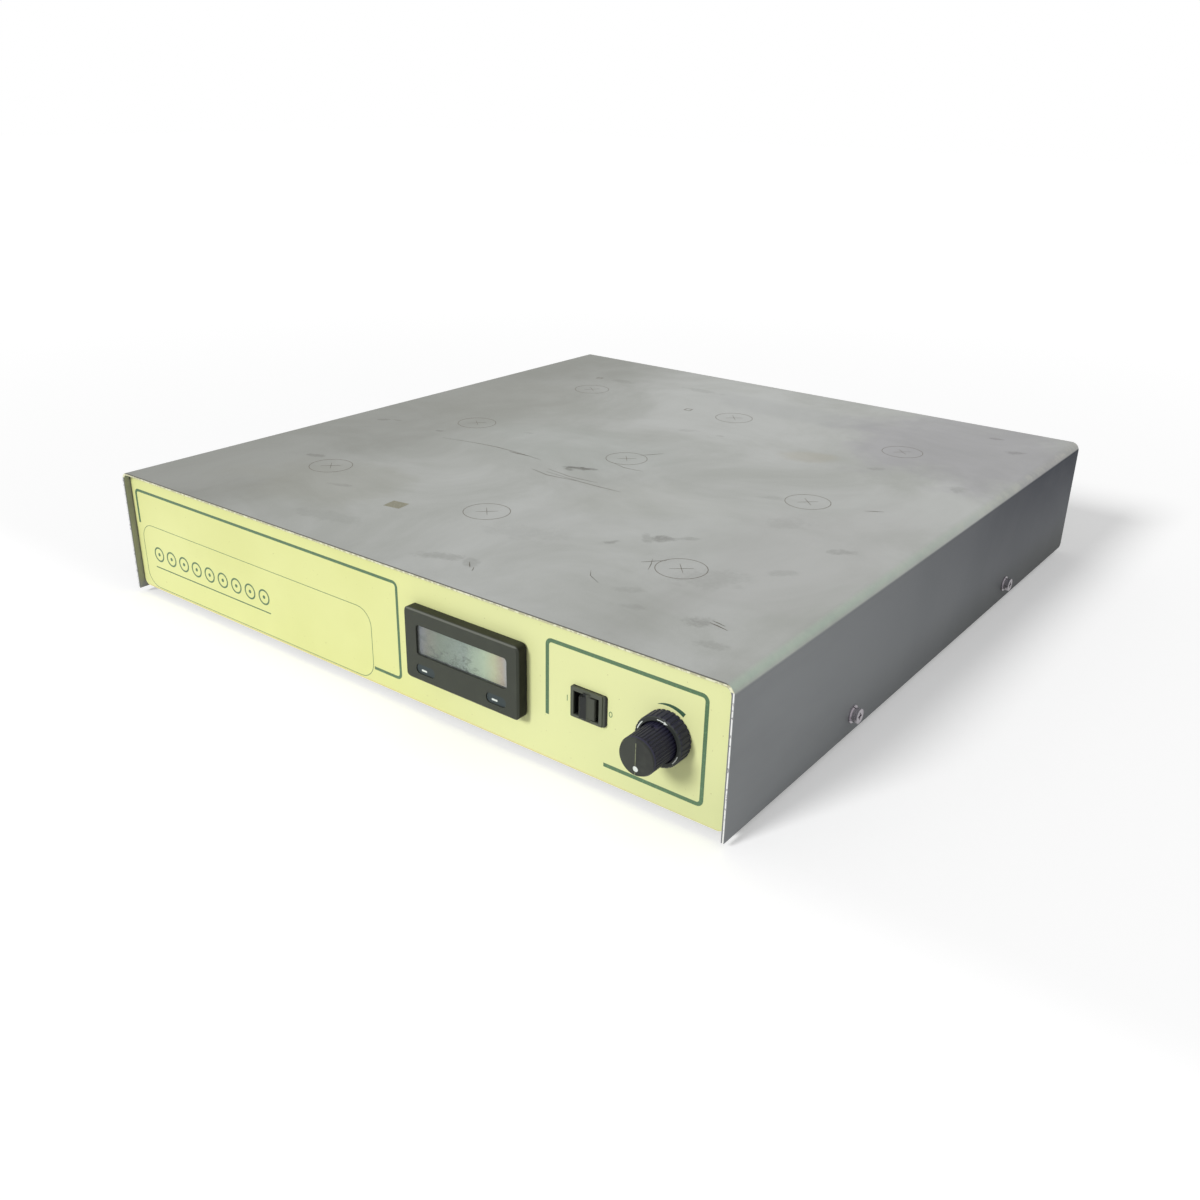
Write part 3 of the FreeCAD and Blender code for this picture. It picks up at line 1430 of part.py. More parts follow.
def make_inlet():
    """Mains inlet at the back, with its blades, fuse drawer, fuses and screws."""
    flange = upright_plate(
        "inlet_flange_plate",
        about("inlet_x", "inlet_width"),
        ("rear_face", "inlet_front"),
        about("inlet_z", "inlet_height"),
        "inlet_corner",
    )
    rear = block(
        "inlet_rear",
        about("inlet_x", "inlet_body_width"),
        ("inlet_back", "rear_face"),
        about("inlet_z", "inlet_body_height"),
    )
    socket_body = new_body("socket_space")
    shape = sketch_on(socket_body, "socket_outline", "XZ_Plane", "-inlet_front")
    side, top, bottom = "socket_width / 2", "socket_z + socket_height / 2", "socket_z - socket_height / 2"
    outline(
        shape,
        [
            (f"inlet_x - {side}", bottom),
            (f"inlet_x + {side}", bottom),
            (f"inlet_x + {side}", f"{top} - socket_chamfer"),
            (f"inlet_x + {side} - socket_chamfer", top),
            (f"inlet_x - {side} + socket_chamfer", top),
            (f"inlet_x - {side}", f"{top} - socket_chamfer"),
        ],
    )
    grow(socket_body, "Pad", shape, "socket_depth")
    pin_tools = [inlet_pin(f"pin_hole_{i}", *place) for i, place in enumerate(pin_places(), start=1)]
    drawer_bay = block(
        "drawer_bay",
        about("inlet_x", "drawer_width"),
        ("inlet_front - drawer_depth", "inlet_front"),
        about("drawer_z", "drawer_height"),
    )
    screw_holes = [
        rod(
            f"inlet_screw_hole_{i}",
            "inlet_screw_radius",
            "y",
            ("rear_face", "inlet_front"),
            f"inlet_x + {sign} * inlet_screw_spacing / 2",
            0,
            "inlet_z",
        )
        for i, sign in enumerate(side_signs(), start=1)
    ]
    housing = fuse("inlet_blank", flange, rear)
    keep(cut("power_inlet", housing, socket_body, drawer_bay, *pin_tools, *screw_holes))
    pins = [inlet_pin(f"inlet_pin_{i}", *place) for i, place in enumerate(pin_places(), start=1)]
    keep(group("inlet_pins", pins))
    make_fuse_drawer()

    upright = screw(
        "inlet_screw_upright",
        "inlet_screw_radius",
        "inlet_flange + 3 * tray_sheet",
        "inlet_head_radius",
        "inlet_head_height",
    )
    places = [
        (f"inlet_x + {sign} * inlet_screw_spacing / 2", "inlet_front", "inlet_z", AXIS_TURN["y"])
        for sign in side_signs()
    ]
    keep(copies("inlet_screws", upright, places))


def pin_places():
    """The three blades of the inlet, earth in the middle."""
    return [
        ("inlet_x - pin_pitch", "socket_z - phase_drop"),
        ("inlet_x", "socket_z + earth_rise"),
        ("inlet_x + pin_pitch", "socket_z - phase_drop"),
    ]


def inlet_pin(name, x, z):
    """One blade, from its solder tab behind the inlet into the socket."""
    along = ("inlet_back - tab_length", "socket_floor + pin_reach")
    return block(name, about(x, "pin_sheet"), along, about(z, "pin_width"))


def make_fuse_drawer():
    """Fuse drawer that slides out of the inlet, with two fuses lying across it."""
    width = "drawer_width - 2 * drawer_gap"
    height = "drawer_height - 2 * drawer_gap"
    tray = block(
        "drawer_tray",
        about("inlet_x", width),
        ("inlet_front - drawer_depth + drawer_gap", "inlet_front"),
        about("drawer_z", height),
    )
    face = upright_plate(
        "drawer_face",
        about("inlet_x", "drawer_width + drawer_lip"),
        ("inlet_front", "inlet_front + drawer_lip"),
        about("drawer_z", "drawer_height + drawer_lip"),
        "drawer_lip",
    )
    bay_pitch = "(drawer_depth - drawer_wall) / 2"
    long_way = about("inlet_x", "fuse_length")
    bays = []
    fuses = []
    for number in (0, 1):
        near = f"inlet_front - drawer_wall - {bay_pitch} * {number}"
        far = f"{near} - {bay_pitch} + drawer_wall + drawer_gap"
        bays.append(
            block(
                f"fuse_bay_{number + 1}",
                long_way,
                (far, near),
                (f"drawer_z - ({height}) / 2 + drawer_wall", f"drawer_z + ({height}) / 2"),
            )
        )
        fuse_z = f"drawer_z - ({height}) / 2 + drawer_wall + fuse_radius"
        fuse_y = f"{near} - fuse_radius"
        fuses.append(rod(f"fuse_{number + 1}", "fuse_radius", "x", long_way, 0, fuse_y, fuse_z))
    keep(cut("fuse_drawer", fuse("drawer_blank", tray, face), *bays))
    keep(group("fuses", fuses))


def make_electronics():
    """Control board on posts, its larger parts, the power supply and the speed sensor."""
    flat = about("board_x", "board_width"), about("board_mid_y", "board_depth")
    keep(plate("control_board", "XY_Plane", flat[0], flat[1], "board_bottom", "board_sheet", "sink_fin"))
    posts = [
        rod(
            f"board_post_{i}",
            "board_post_radius",
            "z",
            ("tray_floor", "board_bottom"),
            f"board_x + {across} * (board_width / 2 - board_post_edge)",
            f"board_mid_y + {along} * (board_depth / 2 - board_post_edge)",
        )
        for i, (across, along) in enumerate([(-1, -1), (1, -1), (1, 1), (-1, 1)], start=1)
    ]
    keep(group("board_posts", posts))

    sink_y = f"board_mid_y - board_depth / 4"
    sink_flat = about("board_x", "sink_width"), about(sink_y, "sink_depth")
    base = block("sink_base_bar", *sink_flat, ("board_top", "board_top + sink_base"))
    pitch = "(sink_width - sink_fin) / (sink_fins - 1)"
    first_fin = "board_x - sink_width / 2"
    fins = [
        block(
            f"sink_fin_{i + 1}",
            (f"{first_fin} + {i} * {pitch}", f"{first_fin} + {i} * {pitch} + sink_fin"),
            sink_flat[1],
            ("board_top", "board_top + sink_height"),
        )
        for i in range(int(size("sink_fins")))
    ]
    keep(fuse("heat_sink", base, *fins))

    parts = [
        rod(
            f"capacitor_{i + 1}",
            "can_radius",
            "z",
            ("board_top", "board_top + can_height"),
            f"board_x + ({i} - 1) * can_pitch",
            f"board_mid_y + board_depth / 4",
        )
        for i in range(3)
    ]
    parts.append(
        block(
            "board_header",
            about("header_x", "header_depth"),
            about("board_mid_y", "header_width"),
            ("board_top", "board_top + header_height"),
        )
    )
    keep(group("board_parts", parts))

    keep(
        block(
            "power_supply",
            about("supply_x", "supply_width"),
            about("mid_y + supply_y", "supply_depth"),
            ("tray_floor", "tray_floor + supply_height"),
        )
    )
    sensor_x = "-(flange_radius + sensor_gap)"
    keep(
        block(
            "speed_sensor",
            (f"{sensor_x} - sensor_width", sensor_x),
            about("grid_y", "sensor_depth"),
            ("deck_top", "rotor_bottom + carrier_bottom - sensor_gap"),
        )
    )


def loom_end(name, x, y, z):
    """The point where a loom starts or ends, tied to the sheet."""
    return add("Part::Vertex", name, X=x, Y=y, Z=z)


def loom_points(start, end, floor, stations):
    """Points from one end of a loom to the other.

    Each station is a share of the way across, of the way along, and of the rise
    from the floor level to the higher end."""
    first, last = (Vector(point.X.Value, point.Y.Value, point.Z.Value) for point in (start, end))
    rise = max(first.z, last.z) - floor
    points = [first]
    for across, along, up in stations:
        x = first.x + across * (last.x - first.x)
        y = first.y + along * (last.y - first.y)
        points.append(Vector(x, y, floor + up * rise))
    return points + [last]


def loom_path(points):
    """A line through points with each corner rounded as far as its runs allow."""
    edges = []
    last = points[0]
    for before, corner, after in zip(points, points[1:], points[2:]):
        come = corner - before
        leave = after - corner
        turn = come.getAngle(leave)
        trim = ROUNDED_SHARE * min(come.Length, leave.Length)
        start = corner - come.normalize() * trim
        end = corner + leave.normalize() * trim
        inward = (start + end) / 2 - corner
        inward.normalize()
        radius = trim / math.tan(turn / 2)
        centre_distance = radius / math.cos(turn / 2)
        middle = corner + inward * (centre_distance - radius)
        edges.append(Part.LineSegment(last, start).toShape())
        edges.append(Part.Arc(start, middle, end).toShape())
        last = end
    edges.append(Part.LineSegment(last, points[-1]).toShape())
    return Part.Wire(edges)


def loom(points, radius):
    """A round bundle of wires along a path."""
    path = loom_path(points)
    way = points[1] - points[0]
    section = Part.Wire([Part.Circle(points[0], way, radius).toShape()])
    return path.makePipeShell([section], True, False)


def make_looms():
    """Wire bundles laid inside the case: mains leads, and signal leads to meter, dial and motor."""
    header_z = "board_top + header_height / 2"
    header_front = "board_mid_y - header_width / 2"
    supply_z = "tray_floor + supply_height / 2"
    ends = {
        "inlet": ("inlet_x - pin_pitch", "inlet_back - tab_length", "socket_z - phase_drop"),
        "supply_back": ("supply_x", "mid_y + supply_y + supply_depth / 2", supply_z),
        "supply_front": ("supply_x", "mid_y + supply_y - supply_depth / 2", supply_z),
        "switch": ("opening_x - tab_pitch", "switch_back + tab_length", "opening_z"),
        "header_side": ("header_x + header_depth / 2", "board_mid_y", header_z),
        "header_left": ("header_x - header_depth / 4", header_front, header_z),
        "header_right": ("header_x + header_depth / 4", header_front, header_z),
        "motor": ("motor_x - motor_radius", "mid_y + motor_y", "deck_height - motor_height / 2"),
        "meter": ("meter_x", "wall_back + meter_body_depth", "meter_z"),
        "dial": ("knob_x", "wall_back + pot_depth", "knob_z"),
        "floor": ("0", "mid_y", "loom_floor"),
    }
    marks = {name: loom_end("loom_at_" + name, *place) for name, place in ends.items()}
    doc.recompute()
    floor = marks["floor"].Z.Value
    for name, radius, routes in (
        ("mains_loom", size("mains_loom_radius"), MAINS_ROUTES),
        ("signal_loom", size("signal_loom_radius"), SIGNAL_ROUTES),
    ):
        bundles = doc.addObject("Part::Feature", name)
        runs = [loom_points(marks[start], marks[end], floor, stations) for start, end, stations in routes]
        bundles.Shape = Part.makeCompound([loom(points, radius) for points in runs])
        keep(bundles)


def check_and_write():
    """Stop on any failed object, then write each sub-part to its own file."""
    doc.recompute()
    for piece in doc.Objects:
        if any(fault in piece.State for fault in FAULTS):
            raise RuntimeError(f"{piece.Name} failed: {piece.State}")
    for piece in nodes:
        if piece.Shape.isNull() or not piece.Shape.isValid():
            raise RuntimeError(f"{piece.Label} has no valid shape")
    os.makedirs("parts", exist_ok=True)
    for piece in nodes:
        piece.Shape.exportStep(f"parts/{piece.Label}.step")


fill_sheet()
make_cover()
make_tray()
make_overlay()
make_cover_screws()
make_feet()
make_deck()
make_spindles()
make_rotors()
make_belts()
make_motor()
make_meter()
make_switch()
make_speed_control()
make_inlet()
make_electronics()
make_looms()
check_and_write()
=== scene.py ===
import math
import random

import bmesh
import bpy
from mathutils import Matrix, Vector


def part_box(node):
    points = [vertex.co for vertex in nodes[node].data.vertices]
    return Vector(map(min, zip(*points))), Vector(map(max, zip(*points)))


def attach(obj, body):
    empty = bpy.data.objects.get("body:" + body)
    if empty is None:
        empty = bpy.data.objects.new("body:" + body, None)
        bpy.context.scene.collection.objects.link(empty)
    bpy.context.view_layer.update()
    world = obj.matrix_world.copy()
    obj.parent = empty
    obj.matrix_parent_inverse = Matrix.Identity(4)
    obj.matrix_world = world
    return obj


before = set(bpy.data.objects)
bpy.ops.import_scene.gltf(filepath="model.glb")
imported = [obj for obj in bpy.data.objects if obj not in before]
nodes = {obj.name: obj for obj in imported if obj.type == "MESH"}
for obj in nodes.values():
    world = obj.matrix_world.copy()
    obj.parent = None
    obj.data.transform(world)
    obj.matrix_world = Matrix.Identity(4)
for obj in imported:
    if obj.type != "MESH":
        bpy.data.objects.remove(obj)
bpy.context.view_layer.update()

MM = 0.001


# Places on the object, read from the frame.

def middle(name):
    """The middle of a node's box."""
    low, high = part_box(name)
    return (low + high) / 2


COVER_LOW, COVER_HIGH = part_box("top_cover")
OVERLAY_LOW, OVERLAY_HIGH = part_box("front_overlay")
TOP_FACE = COVER_HIGH.z
PANEL_FACE = OVERLAY_LOW.y
PANEL_LOW, PANEL_HIGH = OVERLAY_LOW.z, OVERLAY_HIGH.z
PLACES = 9
ROTORS = [f"stir_rotor_{k}" for k in range(1, PLACES + 1)]
STIRRING_PLACES = [middle(rotor) for rotor in ROTORS]
KNOB = middle("speed_knob")
KNOB_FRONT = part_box("speed_knob")[0].y
# The end of the knob's pointer ridge, above the knob's middle.
RIDGE_TOP = 7.1 * MM
RING_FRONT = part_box("lock_ring")[0].y
SWITCH = middle("switch_housing")
SWITCH_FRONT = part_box("switch_housing")[0].y
ROCKER = middle("power_rocker")
ROCKER_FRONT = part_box("power_rocker")[0].y
BEZEL_LOW, BEZEL_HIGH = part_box("meter_case")


# Mesh makers. Each print or mark is a thin closed solid that lies on the face under it.

# Degrees from point to point round a corner or a dot, and the least share of a width in a sharp bend.
CORNER_STEP = DOT_STEP = 15
SHARPEST_BEND = 0.5


def on_top(x, y, lift):
    """A point over the top plate."""
    return Vector((x, y, TOP_FACE + lift))


def on_panel(x, z, lift):
    """A point in front of the panel film."""
    return Vector((x, PANEL_FACE - lift, z))


def in_front_of(y):
    """A plane like the panel's at another depth."""
    return lambda x, z, lift: Vector((x, y - lift, z))


def piece(name, mesh_maker, material, body):
    """Makes a mesh object from a bmesh that mesh_maker fills."""
    mesh = bpy.data.meshes.new(name)
    build = bmesh.new()
    mesh_maker(build)
    bmesh.ops.recalc_face_normals(build, faces=build.faces)
    build.to_mesh(mesh)
    build.free()
    mesh.materials.append(material)
    thing = bpy.data.objects.new(name, mesh)
    bpy.context.scene.collection.objects.link(thing)
    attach(thing, body)


def arc(centre, radius, start, end, step):
    """Points round an arc, in degrees."""
    count = max(2, int(abs(end - start) / step) + 1)
    turns = [math.radians(start + (end - start) * k / (count - 1)) for k in range(count)]
    return [(centre[0] + radius * math.cos(t), centre[1] + radius * math.sin(t)) for t in turns]


def circle(centre, radius, step):
    """Points round a whole circle, one each step degrees."""
    return arc(centre, radius, 0, 360 - step, step)


def rounded_box(low, high, radius):
    """A closed outline with round corners, clockwise from the left side."""
    corners = [((low[0], low[1]), 270, 180), ((low[0], high[1]), 180, 90),
               ((high[0], high[1]), 90, 0), ((high[0], low[1]), 0, -90)]
    points = []
    for (x, z), start, end in corners:
        inside = (x + math.copysign(radius, (low[0] + high[0]) / 2 - x),
                  z + math.copysign(radius, (low[1] + high[1]) / 2 - z))
        points += arc(inside, radius, start, end, CORNER_STEP)
    return points


def slab(build, outline, plane, thickness, lift=0.0):
    """A thin plate of a flat outline."""
    lower = [build.verts.new(plane(u, v, lift)) for u, v in outline]
    upper = [build.verts.new(plane(u, v, lift + thickness)) for u, v in outline]
    build.faces.new(lower)
    build.faces.new(upper[::-1])
    for k in range(len(outline)):
        after = (k + 1) % len(outline)
        build.faces.new((lower[k], upper[k], upper[after], lower[after]))


def ribbon(build, path, plane, thickness, widths, closed=False, lift=0.0):
    """A thin strip along a path. widths is one width or one for each point."""
    count = len(path)
    widths = [widths] * count if isinstance(widths, (int, float)) else widths
    rails = []
    for k, (u, v) in enumerate(path):
        before = path[k - 1] if closed or k else path[k]
        after = path[(k + 1) % count] if closed or k < count - 1 else path[k]
        run_in = Vector((u - before[0], v - before[1]))
        run_out = Vector((after[0] - u, after[1] - v))
        run_in = run_in if run_in.length else run_out
        run_out = run_out if run_out.length else run_in
        along = (run_in.normalized() + run_out.normalized()).normalized()
        side = Vector((-along.y, along.x))
        bend = abs(side.dot(Vector((-run_in.y, run_in.x)).normalized()))
        spread = widths[k] / 2 / max(SHARPEST_BEND, bend)
        rails.append([(u + side.x * spread, v + side.y * spread),
                      (u - side.x * spread, v - side.y * spread)])
    rings = [[build.verts.new(plane(*a, lift)), build.verts.new(plane(*b, lift)),
              build.verts.new(plane(*b, lift + thickness)), build.verts.new(plane(*a, lift + thickness))]
             for a, b in rails]
    for k in range(count if closed else count - 1):
        one, two = rings[k], rings[(k + 1) % count]
        for i in range(4):
            j = (i + 1) % 4
            build.faces.new((one[i], one[j], two[j], two[i]))
    if not closed:
        build.faces.new(rings[0])
        build.faces.new(rings[-1][::-1])


# Node materials. Object coordinates are the model's own frame, in metres. Tones are colours as they
# show on a screen, from 0 to 255.

# Sockets of the node that mixes two colours.
MIX_AMOUNT, MIX_FIRST, MIX_SECOND, MIX_RESULT = 0, 6, 7, 2
# A soft spot is at full strength within this share of its half size.
SPOT_CORE = 0.45


def linear(red, green, blue):
    """A tone as a shader needs it."""
    def one(value):
        value /= 255
        return value / 12.92 if value <= 0.04045 else ((value + 0.055) / 1.055) ** 2.4
    return (one(red), one(green), one(blue), 1.0)


class Finish:
    """One node material, put together step by step."""

    def __init__(self, name):
        self.material = bpy.data.materials.new(name)
        self.material.use_nodes = True
        self.tree = self.material.node_tree
        self.tree.nodes.clear()
        self.output = self.node("ShaderNodeOutputMaterial")
        self.skin = self.node("ShaderNodeBsdfPrincipled")
        self.join(self.skin.outputs["BSDF"], self.output.inputs["Surface"])
        self.place = self.node("ShaderNodeTexCoord").outputs["Object"]

    def node(self, kind, **settings):
        """Adds a node with its settings."""
        made = self.tree.nodes.new(kind)
        for key, value in settings.items():
            setattr(made, key, value)
        return made

    def join(self, source, target):
        """Links an output to an input."""
        self.tree.links.new(source, target)

    def feed(self, target, value):
        """Gives an input either a link or a constant."""
        if isinstance(value, bpy.types.NodeSocket):
            self.join(value, target)
        else:
            target.default_value = value

    def set(self, **values):
        """Feeds the shader's sockets: base_color is Base Color."""
        for key, value in values.items():
            self.feed(self.skin.inputs[key.replace("_", " ").title().replace("Ior", "IOR")], value)

    def calc(self, operation, *values):
        """The result of one maths operation."""
        made = self.node("ShaderNodeMath", operation=operation)
        for k, value in enumerate(values):
            self.feed(made.inputs[k], value)
        return made.outputs[0]

    def times(self, product, *factors):
        """The product of masks and strengths."""
        for factor in factors:
            product = self.calc("MULTIPLY", product, factor)
        return product

    def axes(self):
        """The x, y and z of the place."""
        made = self.node("ShaderNodeSeparateXYZ")
        self.join(self.place, made.inputs[0])
        return tuple(made.outputs)

    def stretched(self, scale, turn=(0.0, 0.0, 0.0)):
        """The place with its axes scaled and turned."""
        made = self.node("ShaderNodeMapping", vector_type="POINT")
        made.inputs["Scale"].default_value = scale
        made.inputs["Rotation"].default_value = turn
        self.join(self.place, made.inputs["Vector"])
        return made.outputs[0]

    def noise(self, scale, detail, roughness, place=None, warp=0.0):
        """Cloudy noise between 0 and 1. A larger scale makes finer clouds."""
        made = self.node("ShaderNodeTexNoise")
        made.inputs["Scale"].default_value = scale
        made.inputs["Detail"].default_value = detail
        made.inputs["Roughness"].default_value = roughness
        made.inputs["Distortion"].default_value = warp
        self.join(place or self.place, made.inputs["Vector"])
        return made.outputs["Fac"]

    def band(self, value, low, high, start=0.0, end=1.0, smooth=True):
        """Goes from start to end while the value goes from low to high, and stays level outside."""
        made = self.node("ShaderNodeMapRange", interpolation_type="SMOOTHSTEP" if smooth else "LINEAR")
        for key, number in (("From Min", low), ("From Max", high), ("To Min", start), ("To Max", end)):
            made.inputs[key].default_value = number
        self.feed(made.inputs["Value"], value)
        return made.outputs[0]

    def mix(self, amount, first, second):
        """Mixes two colours, each of them a tone or the output of a node."""
        made = self.node("ShaderNodeMix", data_type="RGBA")
        self.feed(made.inputs[MIX_AMOUNT], amount)
        for socket, colour in ((MIX_FIRST, first), (MIX_SECOND, second)):
            self.feed(made.inputs[socket], linear(*colour) if isinstance(colour, tuple) else colour)
        return made.outputs[MIX_RESULT]

    def tint(self, colour, mask, strength, tone):
        """Lays a tone over a colour where the mask is, at some strength."""
        return self.mix(self.times(mask, strength), colour, tone)

    def bump(self, height, depth, strength, under=None):
        """A surface normal from a height, over another one."""
        made = self.node("ShaderNodeBump")
        made.inputs["Strength"].default_value = strength
        made.inputs["Distance"].default_value = depth
        self.join(height, made.inputs["Height"])
        if under:
            self.join(under, made.inputs["Normal"])
        return made.outputs[0]

    def patch(self, centre, size, turn, warp, ragged):
        """A soft spot on the top plate, in millimetres: 1 in the middle and 0 outside."""
        made = self.node("ShaderNodeMapping", vector_type="TEXTURE")
        made.inputs["Location"].default_value = (centre[0] * MM, centre[1] * MM, TOP_FACE)
        made.inputs["Rotation"].default_value = (0.0, 0.0, math.radians(turn))
        made.inputs["Scale"].default_value = (size[0] * MM, size[1] * MM, 1.0)
        self.join(self.place, made.inputs["Vector"])
        length = self.node("ShaderNodeVectorMath", operation="LENGTH")
        self.join(made.outputs[0], length.inputs[0])
        reach = self.calc("ADD", length.outputs["Value"], self.times(warp, ragged))
        return self.band(reach, 1.0, SPOT_CORE)


# Stains that years of use left on the top plate: middle, half size and turn, and how dark.
DARK_SMUDGES = [
    ((-9, -32), (13, 3.4), 22, 0.62), ((-14, -38), (5, 4), 0, 0.45), ((99, -101), (8, 5), 30, 0.38),
    ((93, -106), (4, 9), 40, 0.2), ((82, -122), (7, 3), 60, 0.28), ((110, -92), (9, 3), 35, 0.2),
    ((-187, -34), (7, 3), 35, 0.22), ((-176, -28), (5, 2), 10, 0.16), ((-154, -121), (8, 4), 20, 0.26),
    ((-97, -150), (9, 3), 20, 0.16), ((28, -193), (16, 6), 24, 0.22), ((45, -190), (5, 8), 60, 0.18),
    ((172, -177), (8, 7), 0, 0.26), ((190, 83), (7, 7), 0, 0.2), ((133, 90), (7, 4), 30, 0.18),
    ((168, 210), (7, 3), 20, 0.24), ((190, 185), (8, 4), 30, 0.26), ((110, -4), (9, 5), 20, 0.12),
    ((141, -36), (16, 10), 30, 0.1), ((173, -101), (10, 5), 50, 0.14), ((182, -57), (9, 5), 40, 0.22),
    ((126, -167), (10, 4), 30, 0.12), ((138, -182), (9, 4), 20, 0.12), ((188, -193), (9, 5), 10, 0.18),
    ((-7, 86), (8, 4), 30, 0.12), ((18, 89), (4, 2), 10, 0.18), ((-136, -28), (4, 2), 20, 0.26),
    ((-86, 8), (4, 1.5), 20, 0.2), ((-128, 175), (14, 6), 10, 0.12), ((-60, 190), (20, 6), 0, 0.14),
    ((40, -140), (30, 12), 30, 0.08), ((-60, -190), (30, 8), 10, 0.1), ((150, -130), (26, 14), 40, 0.1),
]
# Wider, fainter hazes: middle, half size, turn, strength and colour.
HAZES = [
    ((91, 88), (22, 14), 30, 0.35, (172, 166, 148)), ((-110, -150), (70, 50), 10, 0.35, (150, 150, 138)),
    ((170, 170), (120, 100), 0, 0.5, (156, 153, 160)), ((-40, 0), (90, 60), 0, 0.3, (170, 175, 170)),
    ((-150, 60), (60, 90), 0, 0.3, (150, 151, 143)), ((60, -60), (70, 40), 30, 0.3, (182, 184, 178)),
    ((170, -60), (60, 120), 0, 0.4, (180, 180, 178)), ((20, 180), (80, 30), 0, 0.25, (160, 162, 162)),
]
# How ragged the edges of the hazes and of the stains are.
HAZE_RAGGED, STAIN_RAGGED = 1.6, 2.2

# Tones of the cover: its top, its folds, its sheared front edge and its sides.
CLOUD_DARK, CLOUD_PALE, STREAK, LEFT_SHADE = (171, 173, 168), (187, 189, 186), (138, 138, 131), (136, 137, 130)
STAIN, GRAIN, RUBBED_FOLD, GLINT = (78, 74, 66), (120, 120, 116), (200, 198, 188), (172, 192, 176)
TOP_EDGE_DULL, TOP_EDGE_BRIGHT, BURR = (190, 188, 156), (226, 226, 198), (104, 104, 98)
SIDE_EDGE_DULL, SIDE_EDGE_BRIGHT, INNER_EDGE_SHADE = (150, 150, 150), (236, 236, 234), (122, 124, 128)
SIDE_NEAR_SHADE, SIDE_FAR_SHADE, SIDE_LOW_REFLECTION, SIDE_STREAK = (150, 153, 155), (38, 44, 58), (108, 110, 107), (92, 94, 96)


